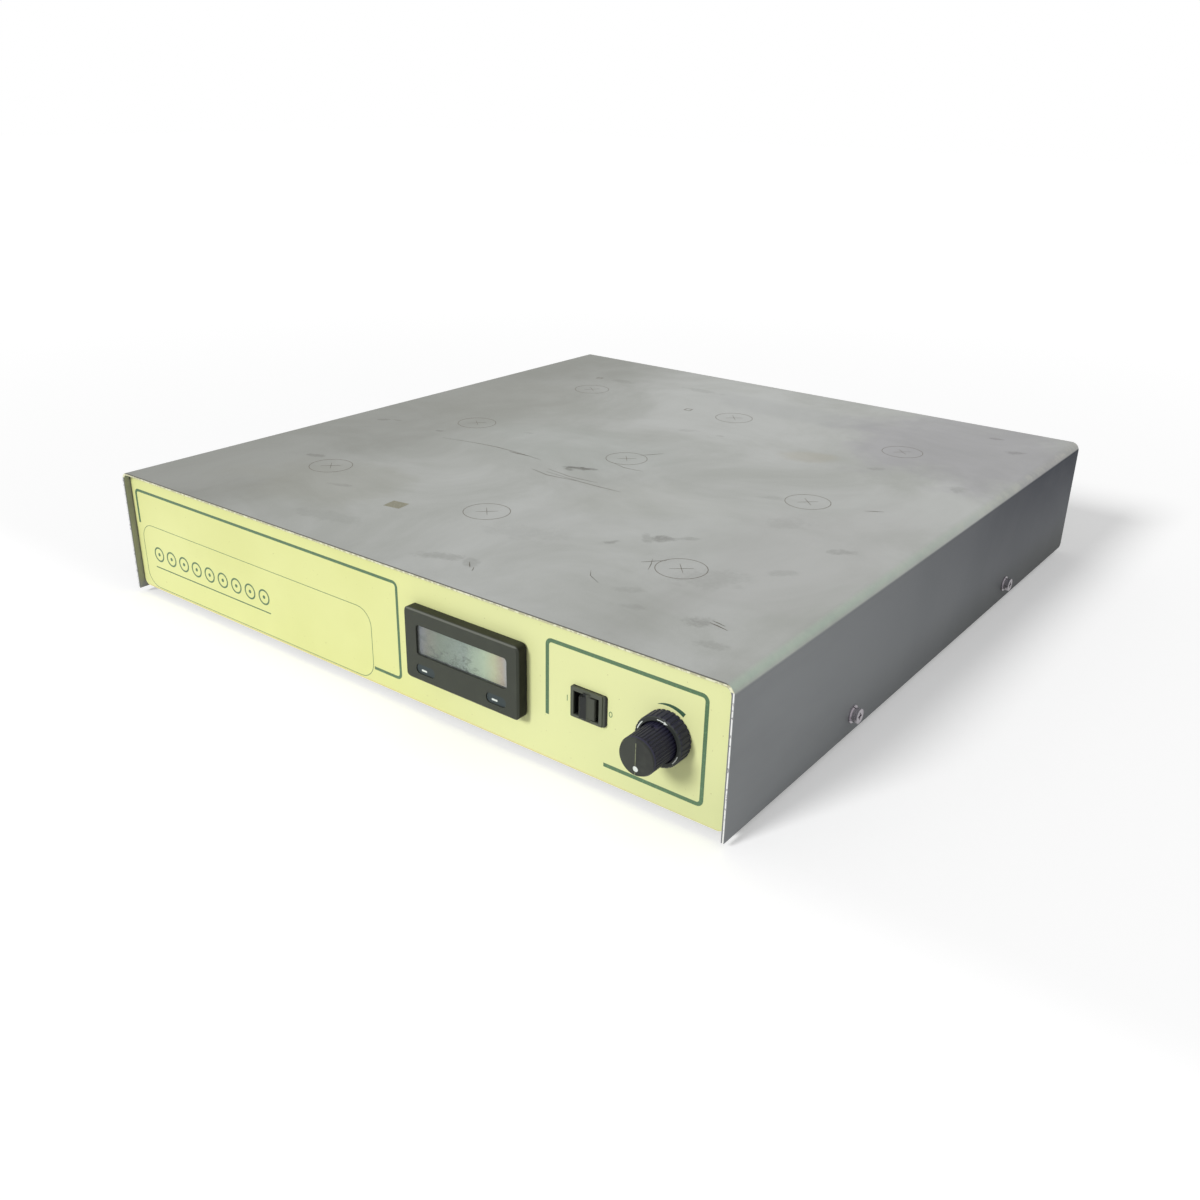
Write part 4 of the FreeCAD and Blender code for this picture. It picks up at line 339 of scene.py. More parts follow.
def cover_steel():
    """Dull rolled steel: fine grain, cloudy stains, rubbed edges and a bright sheared lip, with painted shade
    towards the left, a painted glint on the folds and painted shade and reflection on the sides.
    """
    finish = Finish("worn_steel")
    x, y, z = finish.axes()
    clouds = finish.noise(9, 6, 0.62, warp=0.6)
    streaks = finish.noise(14, 5, 0.6, finish.stretched((1.0, 0.28, 1.0), (0, 0, 0.5)))
    grain = finish.noise(2600, 2, 0.6)
    colour = finish.mix(finish.band(clouds, 0.3, 0.7), CLOUD_DARK, CLOUD_PALE)
    colour = finish.mix(finish.band(streaks, 0.45, 0.8, 0.0, 0.35), colour, STREAK)
    # Painted shade: the top plate is darker towards its left part.
    colour = finish.mix(finish.band(x, -50 * MM, -200 * MM, 0.0, 0.7), colour, LEFT_SHADE)
    ragged = finish.calc("SUBTRACT", finish.noise(120, 6, 0.7), 0.5)
    wide = finish.calc("SUBTRACT", finish.noise(22, 5, 0.6), 0.5)
    for centre, size, turn, strength, tone in HAZES:
        spot = finish.patch(centre, size, turn, HAZE_RAGGED, wide)
        colour = finish.tint(colour, spot, strength, tone)
    stain = 0.0
    for centre, size, turn, strength in DARK_SMUDGES:
        spot = finish.patch(centre, size, turn, STAIN_RAGGED, ragged)
        stain = finish.calc("MAXIMUM", stain, finish.times(spot, strength))
    broken = finish.band(finish.noise(420, 5, 0.7), 0.32, 0.6, 0.45, 1.0)
    colour = finish.mix(finish.times(stain, broken), colour, STAIN)
    colour = finish.mix(finish.band(grain, 0.35, 0.75, 0.0, 0.16), colour, GRAIN)
    # Rubbed steel on the folds, a painted highlight (the glint) along the folds that fades towards the back,
    # and the sheared edge round the front.
    outward = finish.calc("ABSOLUTE", x)
    fold = finish.band(outward, COVER_HIGH.x - 5.5 * MM, COVER_HIGH.x - 1.5 * MM)
    near_top = finish.band(z, TOP_FACE - 5 * MM, TOP_FACE - 1.5 * MM)
    rubbed = finish.times(fold, near_top, finish.band(finish.noise(90, 5, 0.7), 0.35, 0.7))
    colour = finish.tint(colour, rubbed, 0.55, RUBBED_FOLD)
    glint = finish.times(fold, finish.band(y, COVER_HIGH.y, COVER_LOW.y, 0.0, 0.6), near_top)
    colour = finish.mix(glint, colour, GLINT)
    lip = finish.band(y, COVER_LOW.y + 0.3 * MM, COVER_LOW.y + 0.05 * MM)
    chips = finish.noise(520, 4, 0.65)
    burr = finish.band(z, TOP_FACE - 0.75 * MM, TOP_FACE - 0.45 * MM)
    top_edge = finish.mix(finish.band(chips, 0.46, 0.56), TOP_EDGE_DULL, TOP_EDGE_BRIGHT)
    top_edge = finish.mix(burr, top_edge, BURR)
    # Painted shade: the inner part of the sheared side edge is dark, and the outer part keeps the chipped
    # bright steel.
    outer = finish.band(outward, COVER_HIGH.x - 0.95 * MM, COVER_HIGH.x - 0.75 * MM)
    side_edge = finish.mix(finish.band(chips, 0.36, 0.46), SIDE_EDGE_DULL, SIDE_EDGE_BRIGHT)
    side_edge = finish.mix(outer, INNER_EDGE_SHADE, side_edge)
    on_side = finish.band(z, TOP_FACE - 3.2 * MM, TOP_FACE - 3.6 * MM)
    colour = finish.mix(lip, colour, finish.mix(on_side, top_edge, side_edge))
    # The sides are darker than the top as painted shade, most of all high up at the back, with a painted
    # reflection of the pale floor lower down at the back.
    flank = finish.band(outward, COVER_HIGH.x - 0.4 * MM, COVER_HIGH.x - 0.05 * MM)
    far = finish.band(y, COVER_LOW.y, COVER_HIGH.y)
    high = finish.calc("ADD", 0.55, finish.times(finish.band(z, 20 * MM, TOP_FACE), 0.45))
    far_shade_amount = finish.times(far, high, finish.band(x, -10 * MM, 10 * MM, 0.4, 1.0))
    side = finish.mix(far_shade_amount, SIDE_NEAR_SHADE, SIDE_FAR_SHADE)
    side = finish.mix(finish.times(far, finish.band(z, 34 * MM, 6 * MM, 0.0, 0.6)), side, SIDE_LOW_REFLECTION)
    side = finish.mix(finish.band(streaks, 0.45, 0.75, 0.0, 0.2), side, SIDE_STREAK)
    colour = finish.tint(colour, flank, 0.97, side)
    rough = finish.calc("ADD", finish.band(clouds, 0.3, 0.7, 0.5, 0.4), finish.times(stain, 0.25))
    ripples = finish.bump(clouds, 0.25 * MM, 0.25)
    finish.set(base_color=colour, metallic=finish.band(flank, 0.0, 1.0, 0.55, 0.15), roughness=rough,
               specular_ior_level=0.03, normal=finish.bump(grain, 0.03 * MM, 0.5, ripples))
    return finish.material


def plain_steel(name, tone, metallic, roughness, grain_scale=900.0):
    """Bare sheet or bar with a rolled grain and light clouding."""
    finish = Finish(name)
    clouds = finish.noise(40, 5, 0.6)
    grain = finish.noise(grain_scale, 3, 0.6, finish.stretched((1.0, 0.15, 1.0)))
    darker = tuple(int(v * 0.82) for v in tone)
    finish.set(base_color=finish.mix(finish.band(clouds, 0.3, 0.7), darker, tone), metallic=metallic,
               roughness=finish.band(grain, 0.3, 0.7, roughness - 0.06, roughness + 0.08),
               normal=finish.bump(grain, 0.02 * MM, 0.4))
    return finish.material


# Tones of the panel film: its field, its rubbed top edge, painted shade along its bottom edge, the handled
# corner at the right, and specks.
FILM_DARK, FILM_PALE, FILM_RIGHT = (213, 216, 145), (219, 222, 154), (219, 223, 167)
FILM_CHIPPED, FILM_LOW_EDGE_SHADE = (198, 190, 140), (214, 196, 130)
FILM_HANDLED, FILM_SPECK = (196, 201, 148), (150, 140, 90)


def panel_film():
    """Printed polyester film: pale yellow-green, a fine velvet texture, a rubbed grey top edge and painted
    shade along the bottom edge.
    """
    finish = Finish("panel_film")
    x, _, z = finish.axes()
    clouds = finish.noise(13, 4, 0.5)
    velvet = finish.noise(5200, 2, 0.5)
    colour = finish.mix(finish.band(clouds, 0.3, 0.7), FILM_DARK, FILM_PALE)
    colour = finish.mix(finish.band(x, 0.0, 110 * MM, 0.0, 0.7), colour, FILM_RIGHT)
    top_edge = finish.band(z, PANEL_HIGH - 2.2 * MM, PANEL_HIGH - 0.2 * MM)
    chipped = finish.times(top_edge, finish.band(finish.noise(260, 5, 0.75), 0.46, 0.6))
    colour = finish.tint(colour, chipped, 0.7, FILM_CHIPPED)
    # Painted shade along the bottom edge of the film.
    low_edge_shade = finish.band(z, PANEL_LOW + 1.6 * MM, PANEL_LOW + 0.2 * MM)
    colour = finish.tint(colour, low_edge_shade, 0.6, FILM_LOW_EDGE_SHADE)
    handled = finish.times(finish.band(x, 100 * MM, 200 * MM), finish.band(z, 50 * MM, 12 * MM))
    colour = finish.tint(colour, handled, 0.6, FILM_HANDLED)
    specks = finish.band(finish.noise(700, 2, 0.4), 0.74, 0.79)
    colour = finish.tint(colour, specks, 0.5, FILM_SPECK)
    finish.set(base_color=colour, roughness=finish.band(clouds, 0.3, 0.7, 0.42, 0.5),
               specular_ior_level=0.4, normal=finish.bump(velvet, 0.02 * MM, 0.35))
    return finish.material


def ink(name, tone, roughness=0.45):
    """Screen print with slightly uneven cover."""
    finish = Finish(name)
    cover = finish.noise(900, 4, 0.6)
    pale = tuple(min(255, int(v * 1.25 + 8)) for v in tone)
    finish.set(base_color=finish.mix(finish.band(cover, 0.5, 0.85), tone, pale), roughness=roughness,
               normal=finish.bump(cover, 0.01 * MM, 0.3))
    return finish.material


def plastic(name, tone, roughness, grain=1500.0, depth=0.03, dust=0.48, gloss=0.5):
    """Moulded plastic with a spark-eroded grain and a little dust in it."""
    finish = Finish(name)
    texture = finish.noise(grain, 3, 0.6)
    patches = finish.noise(60, 5, 0.6)
    pale = tuple(int(v + (255 - v) * 0.16) for v in tone)
    finish.set(base_color=finish.mix(finish.band(patches, 0.45, 0.8, 0.0, dust), tone, pale),
               roughness=finish.band(patches, 0.3, 0.7, roughness - 0.05, roughness + 0.07),
               specular_ior_level=gloss, normal=finish.bump(texture, depth * MM, 0.5))
    return finish.material


def two_tone_finish(name, worn, side, depths, left, right, line):
    """Plastic with a front face in two tones that meet upright at line, worn patches and other sides.

    depths says where, behind the front, the face turns into the sides. Where the two face tones differ they
    are painted light and shade, and the sides' tone is painted: shade on the switch and the rocker, a bluish
    reflection on the knob and the ring.
    """
    finish = Finish(name)
    x, y, _ = finish.axes()
    texture = finish.noise(1600, 3, 0.6)
    patches = finish.noise(90, 5, 0.6)
    face = finish.mix(finish.band(x, line - 0.15 * MM, line + 0.15 * MM), left, right)
    face = finish.mix(finish.band(patches, 0.45, 0.8, 0.0, 0.3), face, worn)
    colour = finish.mix(finish.band(y, *depths), face, side)
    finish.set(base_color=colour, roughness=finish.band(patches, 0.3, 0.7, 0.42, 0.55),
               specular_ior_level=0.3, normal=finish.bump(texture, 0.02 * MM, 0.5))
    return finish, colour


def two_tone(*description):
    """The same as a finished material."""
    return two_tone_finish(*description)[0].material


# Tones of the knob: on the left and right of its face, painted lighter and darker as light and shade, worn,
# on its sides with a painted bluish reflection, and a painted highlight on the ridge.
KNOB_LIT_LEFT, KNOB_SHADED_RIGHT, KNOB_WORN, KNOB_SIDE_REFLECTION = (50, 53, 47), (40, 42, 39), (84, 88, 80), (44, 43, 63)
RIDGE_HIGHLIGHT = (134, 140, 108)


def knob_skin():
    """The knob: an olive face painted lighter on its left half and darker on its right half, a painted
    highlight along the ridge, and fluted sides with a painted bluish reflection.
    """
    # Painted light and shade on the face's two halves, and a painted bluish reflection on the fluted sides.
    finish, colour = two_tone_finish("knob_plastic", KNOB_WORN, KNOB_SIDE_REFLECTION,
                                     (KNOB_FRONT + 0.9 * MM, KNOB_FRONT + 1.3 * MM),
                                     KNOB_LIT_LEFT, KNOB_SHADED_RIGHT, KNOB.x)
    x, y, z = finish.axes()
    beside = finish.calc("ABSOLUTE", finish.calc("SUBTRACT", x, KNOB.x))
    ridge = finish.band(beside, 0.28 * MM, 0.08 * MM)
    below = finish.band(z, KNOB.z + RIDGE_TOP, KNOB.z + RIDGE_TOP - 0.3 * MM)
    rubbed = finish.band(finish.noise(700, 3, 0.6), 0.3, 0.6, 0.4, 0.9)
    face = finish.band(y, KNOB_FRONT + 0.3 * MM, KNOB_FRONT + 0.1 * MM)
    # Painted highlight along the ridge, broken up by noise.
    finish.set(base_color=finish.mix(finish.times(ridge, below, rubbed, face), colour, RIDGE_HIGHLIGHT))
    return finish.material


# Tones of the meter's case: its face, worn patches, a painted highlight on the upper rim, and painted shade
# on its sides, lighter on its top.
BEZEL_FACE, BEZEL_WORN, BEZEL_RIM_HIGHLIGHT = (58, 61, 54), (74, 78, 69), (112, 114, 106)
BEZEL_SIDE_SHADE, BEZEL_TOP_SHADE = (15, 15, 19), (40, 42, 34)


def bezel_plastic():
    """The meter's case: olive front, a painted highlight along its upper front rim, and painted shade on its
    sides towards the panel, lighter on its top.
    """
    finish = Finish("meter_plastic")
    _, y, z = finish.axes()
    texture = finish.noise(1300, 3, 0.6)
    patches = finish.noise(60, 5, 0.6)
    colour = finish.mix(finish.band(patches, 0.45, 0.8, 0.0, 0.4), BEZEL_FACE, BEZEL_WORN)
    # Painted shade on the case's sides, lighter on the top side.
    side = finish.band(y, BEZEL_LOW.y + 0.7 * MM, BEZEL_LOW.y + 1.2 * MM)
    top = finish.band(z, BEZEL_HIGH.z - 1.2 * MM, BEZEL_HIGH.z - 0.4 * MM)
    colour = finish.tint(colour, side, 0.9, finish.mix(top, BEZEL_SIDE_SHADE, BEZEL_TOP_SHADE))
    # A painted highlight along the upper front rim.
    rim = finish.times(finish.band(z, BEZEL_HIGH.z - 1.05 * MM, BEZEL_HIGH.z - 0.8 * MM),
                       finish.band(y, BEZEL_LOW.y + 0.9 * MM, BEZEL_LOW.y + 0.6 * MM))
    colour = finish.tint(colour, rim, 0.7, BEZEL_RIM_HIGHLIGHT)
    finish.set(base_color=colour, roughness=finish.band(patches, 0.3, 0.7, 0.45, 0.57),
               specular_ior_level=0.2, normal=finish.bump(texture, 0.035 * MM, 0.5))
    return finish.material


def rubber(name, tone):
    """Matt rubber with rubbed pale patches."""
    finish = Finish(name)
    patches = finish.noise(160, 5, 0.7)
    pale = tuple(v + 34 for v in tone)
    finish.set(base_color=finish.mix(finish.band(patches, 0.5, 0.8), tone, pale), roughness=0.82,
               specular_ior_level=0.3, normal=finish.bump(patches, 0.08 * MM, 0.4))
    return finish.material


# The display's tones from left to right, as shares of its width, and its scuffs.
DISPLAY_STOPS = [(0.0, (112, 115, 128)), (0.1, (118, 118, 106)), (0.22, (112, 126, 110)),
                 (0.5, (130, 146, 136)), (0.72, (176, 194, 166)), (0.84, (188, 190, 152)),
                 (0.92, (176, 162, 142)), (1.0, (154, 162, 172))]
DISPLAY_SCUFF = (68, 78, 70)


def display():
    """The unlit liquid crystal: grey green, with the faint rainbow of its polariser."""
    finish = Finish("display")
    low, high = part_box("lcd_panel")
    x, _, z = finish.axes()
    along = finish.band(x, low.x, high.x, smooth=False)
    clouds = finish.noise(75, 4, 0.6, warp=0.8)
    ramp = finish.node("ShaderNodeValToRGB")
    while len(ramp.color_ramp.elements) < len(DISPLAY_STOPS):
        ramp.color_ramp.elements.new(0.5)
    for element, (where, tone) in zip(ramp.color_ramp.elements, DISPLAY_STOPS):
        element.position = where
        element.color = linear(*tone)
    wavy = finish.calc("ADD", along, finish.times(finish.calc("SUBTRACT", clouds, 0.5), 0.16))
    finish.join(wavy, ramp.inputs["Fac"])
    smears = finish.band(finish.noise(190, 5, 0.65, finish.stretched((1.0, 1.0, 1.8)), 1.2), 0.5, 0.62)
    low_half = finish.band(z, high.z, low.z, 0.1, 0.9, smooth=False)
    rubbed = finish.times(low_half, finish.band(along, 0.8, 0.5, 0.15, 1.0))
    colour = finish.tint(ramp.outputs["Color"], smears, rubbed, DISPLAY_SCUFF)
    finish.set(base_color=colour, roughness=0.3, metallic=0.0, specular_ior_level=0.3)
    return finish.material


GLASS_TONE = (206, 214, 210)


def window_glass():
    """Clear acrylic lens."""
    finish = Finish("window_glass")
    scuffs = finish.noise(260, 4, 0.7)
    finish.set(base_color=linear(*GLASS_TONE), alpha=finish.band(scuffs, 0.5, 0.8, 0.16, 0.26),
               roughness=finish.band(scuffs, 0.55, 0.8, 0.05, 0.16))
    return finish.material


def paint_nodes(material, *names):
    """Gives CAD nodes their material."""
    for name in names:
        thing = nodes[name]
        if not thing.material_slots:
            thing.data.materials.append(material)
        for slot in thing.material_slots:
            slot.material = material


# The materials, and below them the CAD nodes that each of them is for.
steel = cover_steel()
tray_metal = plain_steel("tray_metal", (150, 151, 148), 0.75, 0.42)
bright_screw = plain_steel("bright_screw", (214, 208, 214), 1.0, 0.22, 500.0)
deck_metal = plain_steel("deck_metal", (186, 188, 190), 0.85, 0.38)
shaft_metal = plain_steel("shaft_metal", (170, 172, 176), 0.95, 0.25, 400.0)
brass_metal = plain_steel("brass_metal", (196, 164, 92), 1.0, 0.28, 500.0)
motor_shell = plain_steel("motor_shell", (120, 122, 126), 0.7, 0.4)
film = panel_film()
green_ink = ink("green_ink", (78, 109, 78))
dark_green_ink = ink("dark_green_ink", (50, 82, 60))
pale_green_ink = ink("pale_green_ink", (98, 128, 88))
white_ink = ink("white_ink", (214, 220, 214))
pencil = ink("pencil_line", (112, 108, 98), 0.6)
scuff_ink = ink("scuff_line", (104, 100, 90), 0.6)
residue = ink("tape_residue", (142, 140, 122), 0.7)
meter_plastic = bezel_plastic()
button_rubber = plastic("button_rubber", (46, 56, 58), 0.55, 1900, 0.02, 0.4, 0.35)
SWITCH_TONE = (76, 80, 69)
# The switch frame's outer sides are darker as painted shade.
switch_plastic = two_tone("switch_plastic", (88, 92, 80), (34, 36, 34),
                          (SWITCH_FRONT + 0.7 * MM, SWITCH_FRONT + 1.1 * MM),
                          SWITCH_TONE, SWITCH_TONE, SWITCH.x)
# Painted shade: the rocker's left half is much darker than its right half, and its sides are dark.
rocker_plastic = two_tone("rocker_plastic", (64, 67, 60), (30, 31, 31),
                          (ROCKER_FRONT + 5.0 * MM, ROCKER_FRONT + 6.0 * MM),
                          (36, 38, 38), (66, 69, 60), ROCKER.x)
knob_plastic = knob_skin()
RING_TONE = (40, 44, 41)
# The ring's sides carry a painted bluish reflection.
ring_plastic = two_tone("ring_plastic", (66, 68, 66), (38, 37, 62),
                        (RING_FRONT + 0.3 * MM, RING_FRONT + 0.8 * MM), RING_TONE, RING_TONE, KNOB.x)
inlet_plastic = plastic("inlet_plastic", (34, 34, 36), 0.4)
nylon = plastic("nylon", (222, 220, 208), 0.45, 900, 0.02, 0.2)
belt_rubber = rubber("belt_rubber", (38, 38, 40))
foot_rubber = rubber("foot_rubber", (40, 40, 42))
gasket_rubber = rubber("gasket_rubber", (26, 28, 26))
board_green = plastic("board_green", (42, 92, 58), 0.35, 600, 0.02, 0.2)
supply_grey = plain_steel("supply_grey", (176, 178, 180), 0.6, 0.45)
can_sleeve = plastic("can_sleeve", (40, 48, 84), 0.3, 700, 0.01, 0.2)
fuse_glass = plastic("fuse_glass", (206, 212, 214), 0.12, 400, 0.0, 0.2)
loom_sleeve = rubber("loom_sleeve", (44, 44, 50))
screen = display()
lens = window_glass()

paint_nodes(steel, "top_cover")
paint_nodes(tray_metal, "base_tray", "clinch_nuts", "heat_sink")
paint_nodes(film, "front_overlay")
paint_nodes(bright_screw, "cover_screws", "flat_washers", "lock_washers", "inlet_screws",
            "foot_screws", "deck_screws", "motor_screws", "knob_set_screw", "spindle_clips")
paint_nodes(deck_metal, "drive_deck", "deck_standoffs", "board_posts", "motor_pulley")
paint_nodes(shaft_metal, "spindle_posts", "motor_shaft", "pot_shaft", "pot_nut", "speed_pot")
paint_nodes(brass_metal, "switch_tabs", "inlet_pins")
paint_nodes(motor_shell, "motor_body")
paint_nodes(nylon, "thrust_washers", *ROTORS)
paint_nodes(belt_rubber, "perimeter_belt", "drive_belt")
paint_nodes(foot_rubber, "rubber_feet")
paint_nodes(meter_plastic, "meter_case", "meter_clip")
paint_nodes(gasket_rubber, "meter_gasket")
paint_nodes(button_rubber, "left_meter_key", "right_meter_key")
paint_nodes(screen, "lcd_panel")
paint_nodes(lens, "meter_lens")
paint_nodes(switch_plastic, "switch_housing")
paint_nodes(rocker_plastic, "power_rocker")
paint_nodes(knob_plastic, "speed_knob")
paint_nodes(ring_plastic, "lock_ring", "lock_base")
paint_nodes(inlet_plastic, "power_inlet", "fuse_drawer", "speed_sensor")
paint_nodes(fuse_glass, "fuses")
paint_nodes(board_green, "control_board")
paint_nodes(can_sleeve, "board_parts")
paint_nodes(supply_grey, "power_supply")
paint_nodes(loom_sleeve, "mains_loom", "signal_loom")


# Marks on the top plate.
LINE_LIFT = 0.01 * MM
LINE_THICKNESS = 0.03 * MM
CIRCLE_RADIUS = 13.25 * MM
CIRCLE_LINE = 0.42 * MM
CROSS_ARM = 6.2 * MM
CROSS_LINE = 0.4 * MM
CROSS_TAPER = (0.4, 1.0, 0.5)
CROSS_TURN, CROSS_WOBBLE = 45.0, 6
HAND_SEED = 9


def stirring_mark(build, centre, turn):
    """A scribed circle with a cross in it."""
    ring = circle((centre.x, centre.y), CIRCLE_RADIUS, 3)
    ribbon(build, ring, on_top, LINE_THICKNESS, CIRCLE_LINE, closed=True, lift=LINE_LIFT)
    widths = [CROSS_LINE * share for share in CROSS_TAPER]
    for layer, extra in enumerate((0, 90), start=2):
        way = math.radians(turn + extra)
        step = Vector((math.cos(way), math.sin(way))) * CROSS_ARM
        path = [(centre.x - step.x, centre.y - step.y), (centre.x, centre.y),
                (centre.x + step.x, centre.y + step.y)]
        ribbon(build, path, on_top, LINE_THICKNESS, widths, lift=LINE_LIFT * layer)


hand = random.Random(HAND_SEED)
for number, centre in enumerate(STIRRING_PLACES, start=1):
    turn = CROSS_TURN + hand.uniform(-CROSS_WOBBLE, CROSS_WOBBLE)
    piece(f"place_mark_{number}", lambda build: stirring_mark(build, centre, turn), pencil, "root")


# Scratches: points on the plate and the widest place, in millimetres.
SCRATCHES = {
    "long_sweep": ([(-122, -39), (-98, -33.5), (-80, -31.5), (-60, -32), (-40, -34.5)], 0.5),
    "dark_dash": ([(-67, -33.8), (-60, -33.6), (-51, -32.9)], 1.1),
    "near_blob_1": ([(-32, -52.5), (-17, -56), (4, -53.4)], 0.6),
    "near_blob_2": ([(-21, -51), (8, -53.3), (22, -53.4), (37, -53)], 0.55),
    "near_blob_3": ([(-24, -46), (-4, -49.5), (16, -48)], 0.45),
    "hook": ([(97, -159.3), (101, -165), (109.6, -169.8)], 0.35),
    "circle_tail": ([(2.3, 15.4), (7, 21), (12, 28.6)], 0.5),
    "curve_near_5": ([(-2, -9), (10, -13), (24, -12)], 0.4),
    "fork_1": ([(110, -134.7), (114, -130), (118.8, -124.7)], 0.5),
    "fork_2": ([(118.7, -141.3), (115.5, -134), (112, -127.6)], 0.45),
    "short_pair_1": ([(175.5, -173.9), (180, -174.6), (186, -176)], 0.8),
    "short_pair_2": ([(175.4, -171.4), (179, -172), (183, -173)], 0.6),
    "dash_right": ([(163, 10.6), (167.5, 13.6), (172.4, 16.5)], 0.5),
    "marks_front_1": ([(44, -190), (47, -193), (49, -195)], 0.7),
    "marks_front_2": ([(50, -193), (52, -196), (53, -198)], 0.5),
}
# The least share of that width, how full the ends are, and the layer over the other marks.
SCRATCH_THIN_END = 0.15
SCRATCH_FULLNESS = 0.3
SCRATCH_LAYER = 4


def scratch(build, points, width):
    """A line that thins out to its ends."""
    half = (len(points) - 1) / 2
    shares = [1 - abs(k - half) / (half + SCRATCH_FULLNESS) for k in range(len(points))]
    widths = [width * MM * max(SCRATCH_THIN_END, share) for share in shares]
    path = [(x * MM, y * MM) for x, y in points]
    ribbon(build, path, on_top, LINE_THICKNESS, widths, lift=LINE_LIFT * SCRATCH_LAYER)


for name, (points, width) in SCRATCHES.items():
    piece(f"scratch_{name}", lambda build: scratch(build, points, width), scuff_ink, "root")


# Small diamond outlines and a square of old tape glue.
DIAMONDS = {"diamond_back": ((-148.8, 171.0), 4.2), "diamond_middle": ((-38.0, 134.0), 4.6)}
DIAMOND_TURN, DIAMOND_LINE = 4, 0.7 * MM
TAPE_PLACE, TAPE_SIZE, TAPE_TURN = (-46.5, -153.6), (11.0, 9.6), 8.0


def turned_box(centre, size, turn):
    """Corners of a turned rectangle that is given in millimetres."""
    c, s = math.cos(math.radians(turn)), math.sin(math.radians(turn))
    corners = [(-1, -1), (1, -1), (1, 1), (-1, 1)]
    return [((centre[0] + (u * size[0] * c - v * size[1] * s) / 2) * MM,
             (centre[1] + (u * size[0] * s + v * size[1] * c) / 2) * MM) for u, v in corners]


for name, (centre, width) in DIAMONDS.items():
    outline = turned_box(centre, (width, width), DIAMOND_TURN)
    piece(name, lambda build: ribbon(build, outline, on_top, LINE_THICKNESS, DIAMOND_LINE, closed=True,
                                     lift=LINE_LIFT), scuff_ink, "root")
piece("tape_glue", lambda build: slab(build, turned_box(TAPE_PLACE, TAPE_SIZE, TAPE_TURN), on_top,
                                      LINE_THICKNESS, LINE_LIFT), residue, "root")


# Printing on the panel film.
PRINT_THICKNESS = 0.05 * MM
LEFT_BORDER_LINE = 1.7 * MM
RIGHT_BORDER_LINE = 2.0 * MM
BORDER_RADIUS = 2.6 * MM
LEFT_BORDER = ((-210.0 * MM, 14.1 * MM), (16.4 * MM, 68.2 * MM))
LEFT_BORDER_GAP_TOP = 47.0 * MM
LEFT_BORDER_GAP_RIGHT = -3.5 * MM
RIGHT_BORDER = ((114.9 * MM, 14.2 * MM), (201.1 * MM, 67.6 * MM))
RIGHT_BORDER_GAP_TOP = 28.8 * MM
RIGHT_BORDER_GAP_RIGHT = 148.2 * MM
LABEL = ((-208.4 * MM, 6.4 * MM), (-4.2 * MM, 47.2 * MM))
LABEL_RADIUS = 10.0 * MM
LABEL_LINE = 0.32 * MM


def open_border(low, high, gap_top, gap_right):
    """A round-cornered frame that is open at its lower left corner."""
    r = BORDER_RADIUS
    path = [(low[0], gap_top)]
    path += arc((low[0] + r, high[1] - r), r, 180, 90, CORNER_STEP)
    path += arc((high[0] - r, high[1] - r), r, 90, 0, CORNER_STEP)
    path += arc((high[0] - r, low[1] + r), r, 0, -90, CORNER_STEP)
    path.append((gap_right, low[1]))
    return path


left_path = open_border(*LEFT_BORDER, LEFT_BORDER_GAP_TOP, LEFT_BORDER_GAP_RIGHT)
right_path = open_border(*RIGHT_BORDER, RIGHT_BORDER_GAP_TOP, RIGHT_BORDER_GAP_RIGHT)
for name, path, width in (("left_border_print", left_path, LEFT_BORDER_LINE),
                          ("right_border_print", right_path, RIGHT_BORDER_LINE)):
    piece(name, lambda build: ribbon(build, path, on_panel, PRINT_THICKNESS, width), green_ink, "root")
piece("label_outline_print", lambda build: ribbon(build, rounded_box(*LABEL, LABEL_RADIUS), on_panel,
                                                  PRINT_THICKNESS, LABEL_LINE, closed=True),
      green_ink, "root")

# A plain row of nine rings over a rule, one ring for each stirring place.
MOTIF_LEFT, MOTIF_Z, MOTIF_PITCH = -194.0 * MM, 29.5 * MM, 12.6 * MM
MOTIF_RADIUS, MOTIF_LINE, MOTIF_DOT = 4.3 * MM, 1.0 * MM, 1.1 * MM
RULE_Z, RULE_LINE = 20.5 * MM, 0.7 * MM


def motif(build):
    """The rings with their dots, and the rule under them."""
    for k in range(PLACES):
        centre = (MOTIF_LEFT + k * MOTIF_PITCH, MOTIF_Z)
        ribbon(build, circle(centre, MOTIF_RADIUS, 8), on_panel, PRINT_THICKNESS, MOTIF_LINE, closed=True)
        slab(build, circle(centre, MOTIF_DOT, DOT_STEP), on_panel, PRINT_THICKNESS)
    left = MOTIF_LEFT - MOTIF_RADIUS - MOTIF_LINE / 2
    right = MOTIF_LEFT + (PLACES - 1) * MOTIF_PITCH + MOTIF_RADIUS + MOTIF_LINE / 2
    ribbon(build, [(left, RULE_Z), (right, RULE_Z)], on_panel, PRINT_THICKNESS, RULE_LINE)


piece("label_motif_print", motif, green_ink, "root")

# A short white bar on each key of the meter.
KEY_BAR = (3.6 * MM, 1.0 * MM)
KEY_BAR_SHIFT = (-1.2 * MM, -0.5 * MM)
KEY_BAR_RADIUS = 0.3 * MM


def key_bar(build, key):
    """The bar on one key's front face, a little off its middle."""
    face = in_front_of(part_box(key)[0].y)
    centre = middle(key)
    low = (centre.x + KEY_BAR_SHIFT[0] - KEY_BAR[0] / 2, centre.z + KEY_BAR_SHIFT[1] - KEY_BAR[1] / 2)
    high = (low[0] + KEY_BAR[0], low[1] + KEY_BAR[1])
    slab(build, rounded_box(low, high, KEY_BAR_RADIUS), face, PRINT_THICKNESS)


for side in ("left", "right"):
    piece(f"{side}_key_bar", lambda build: key_bar(build, f"{side}_meter_key"), white_ink, f"{side}_key")

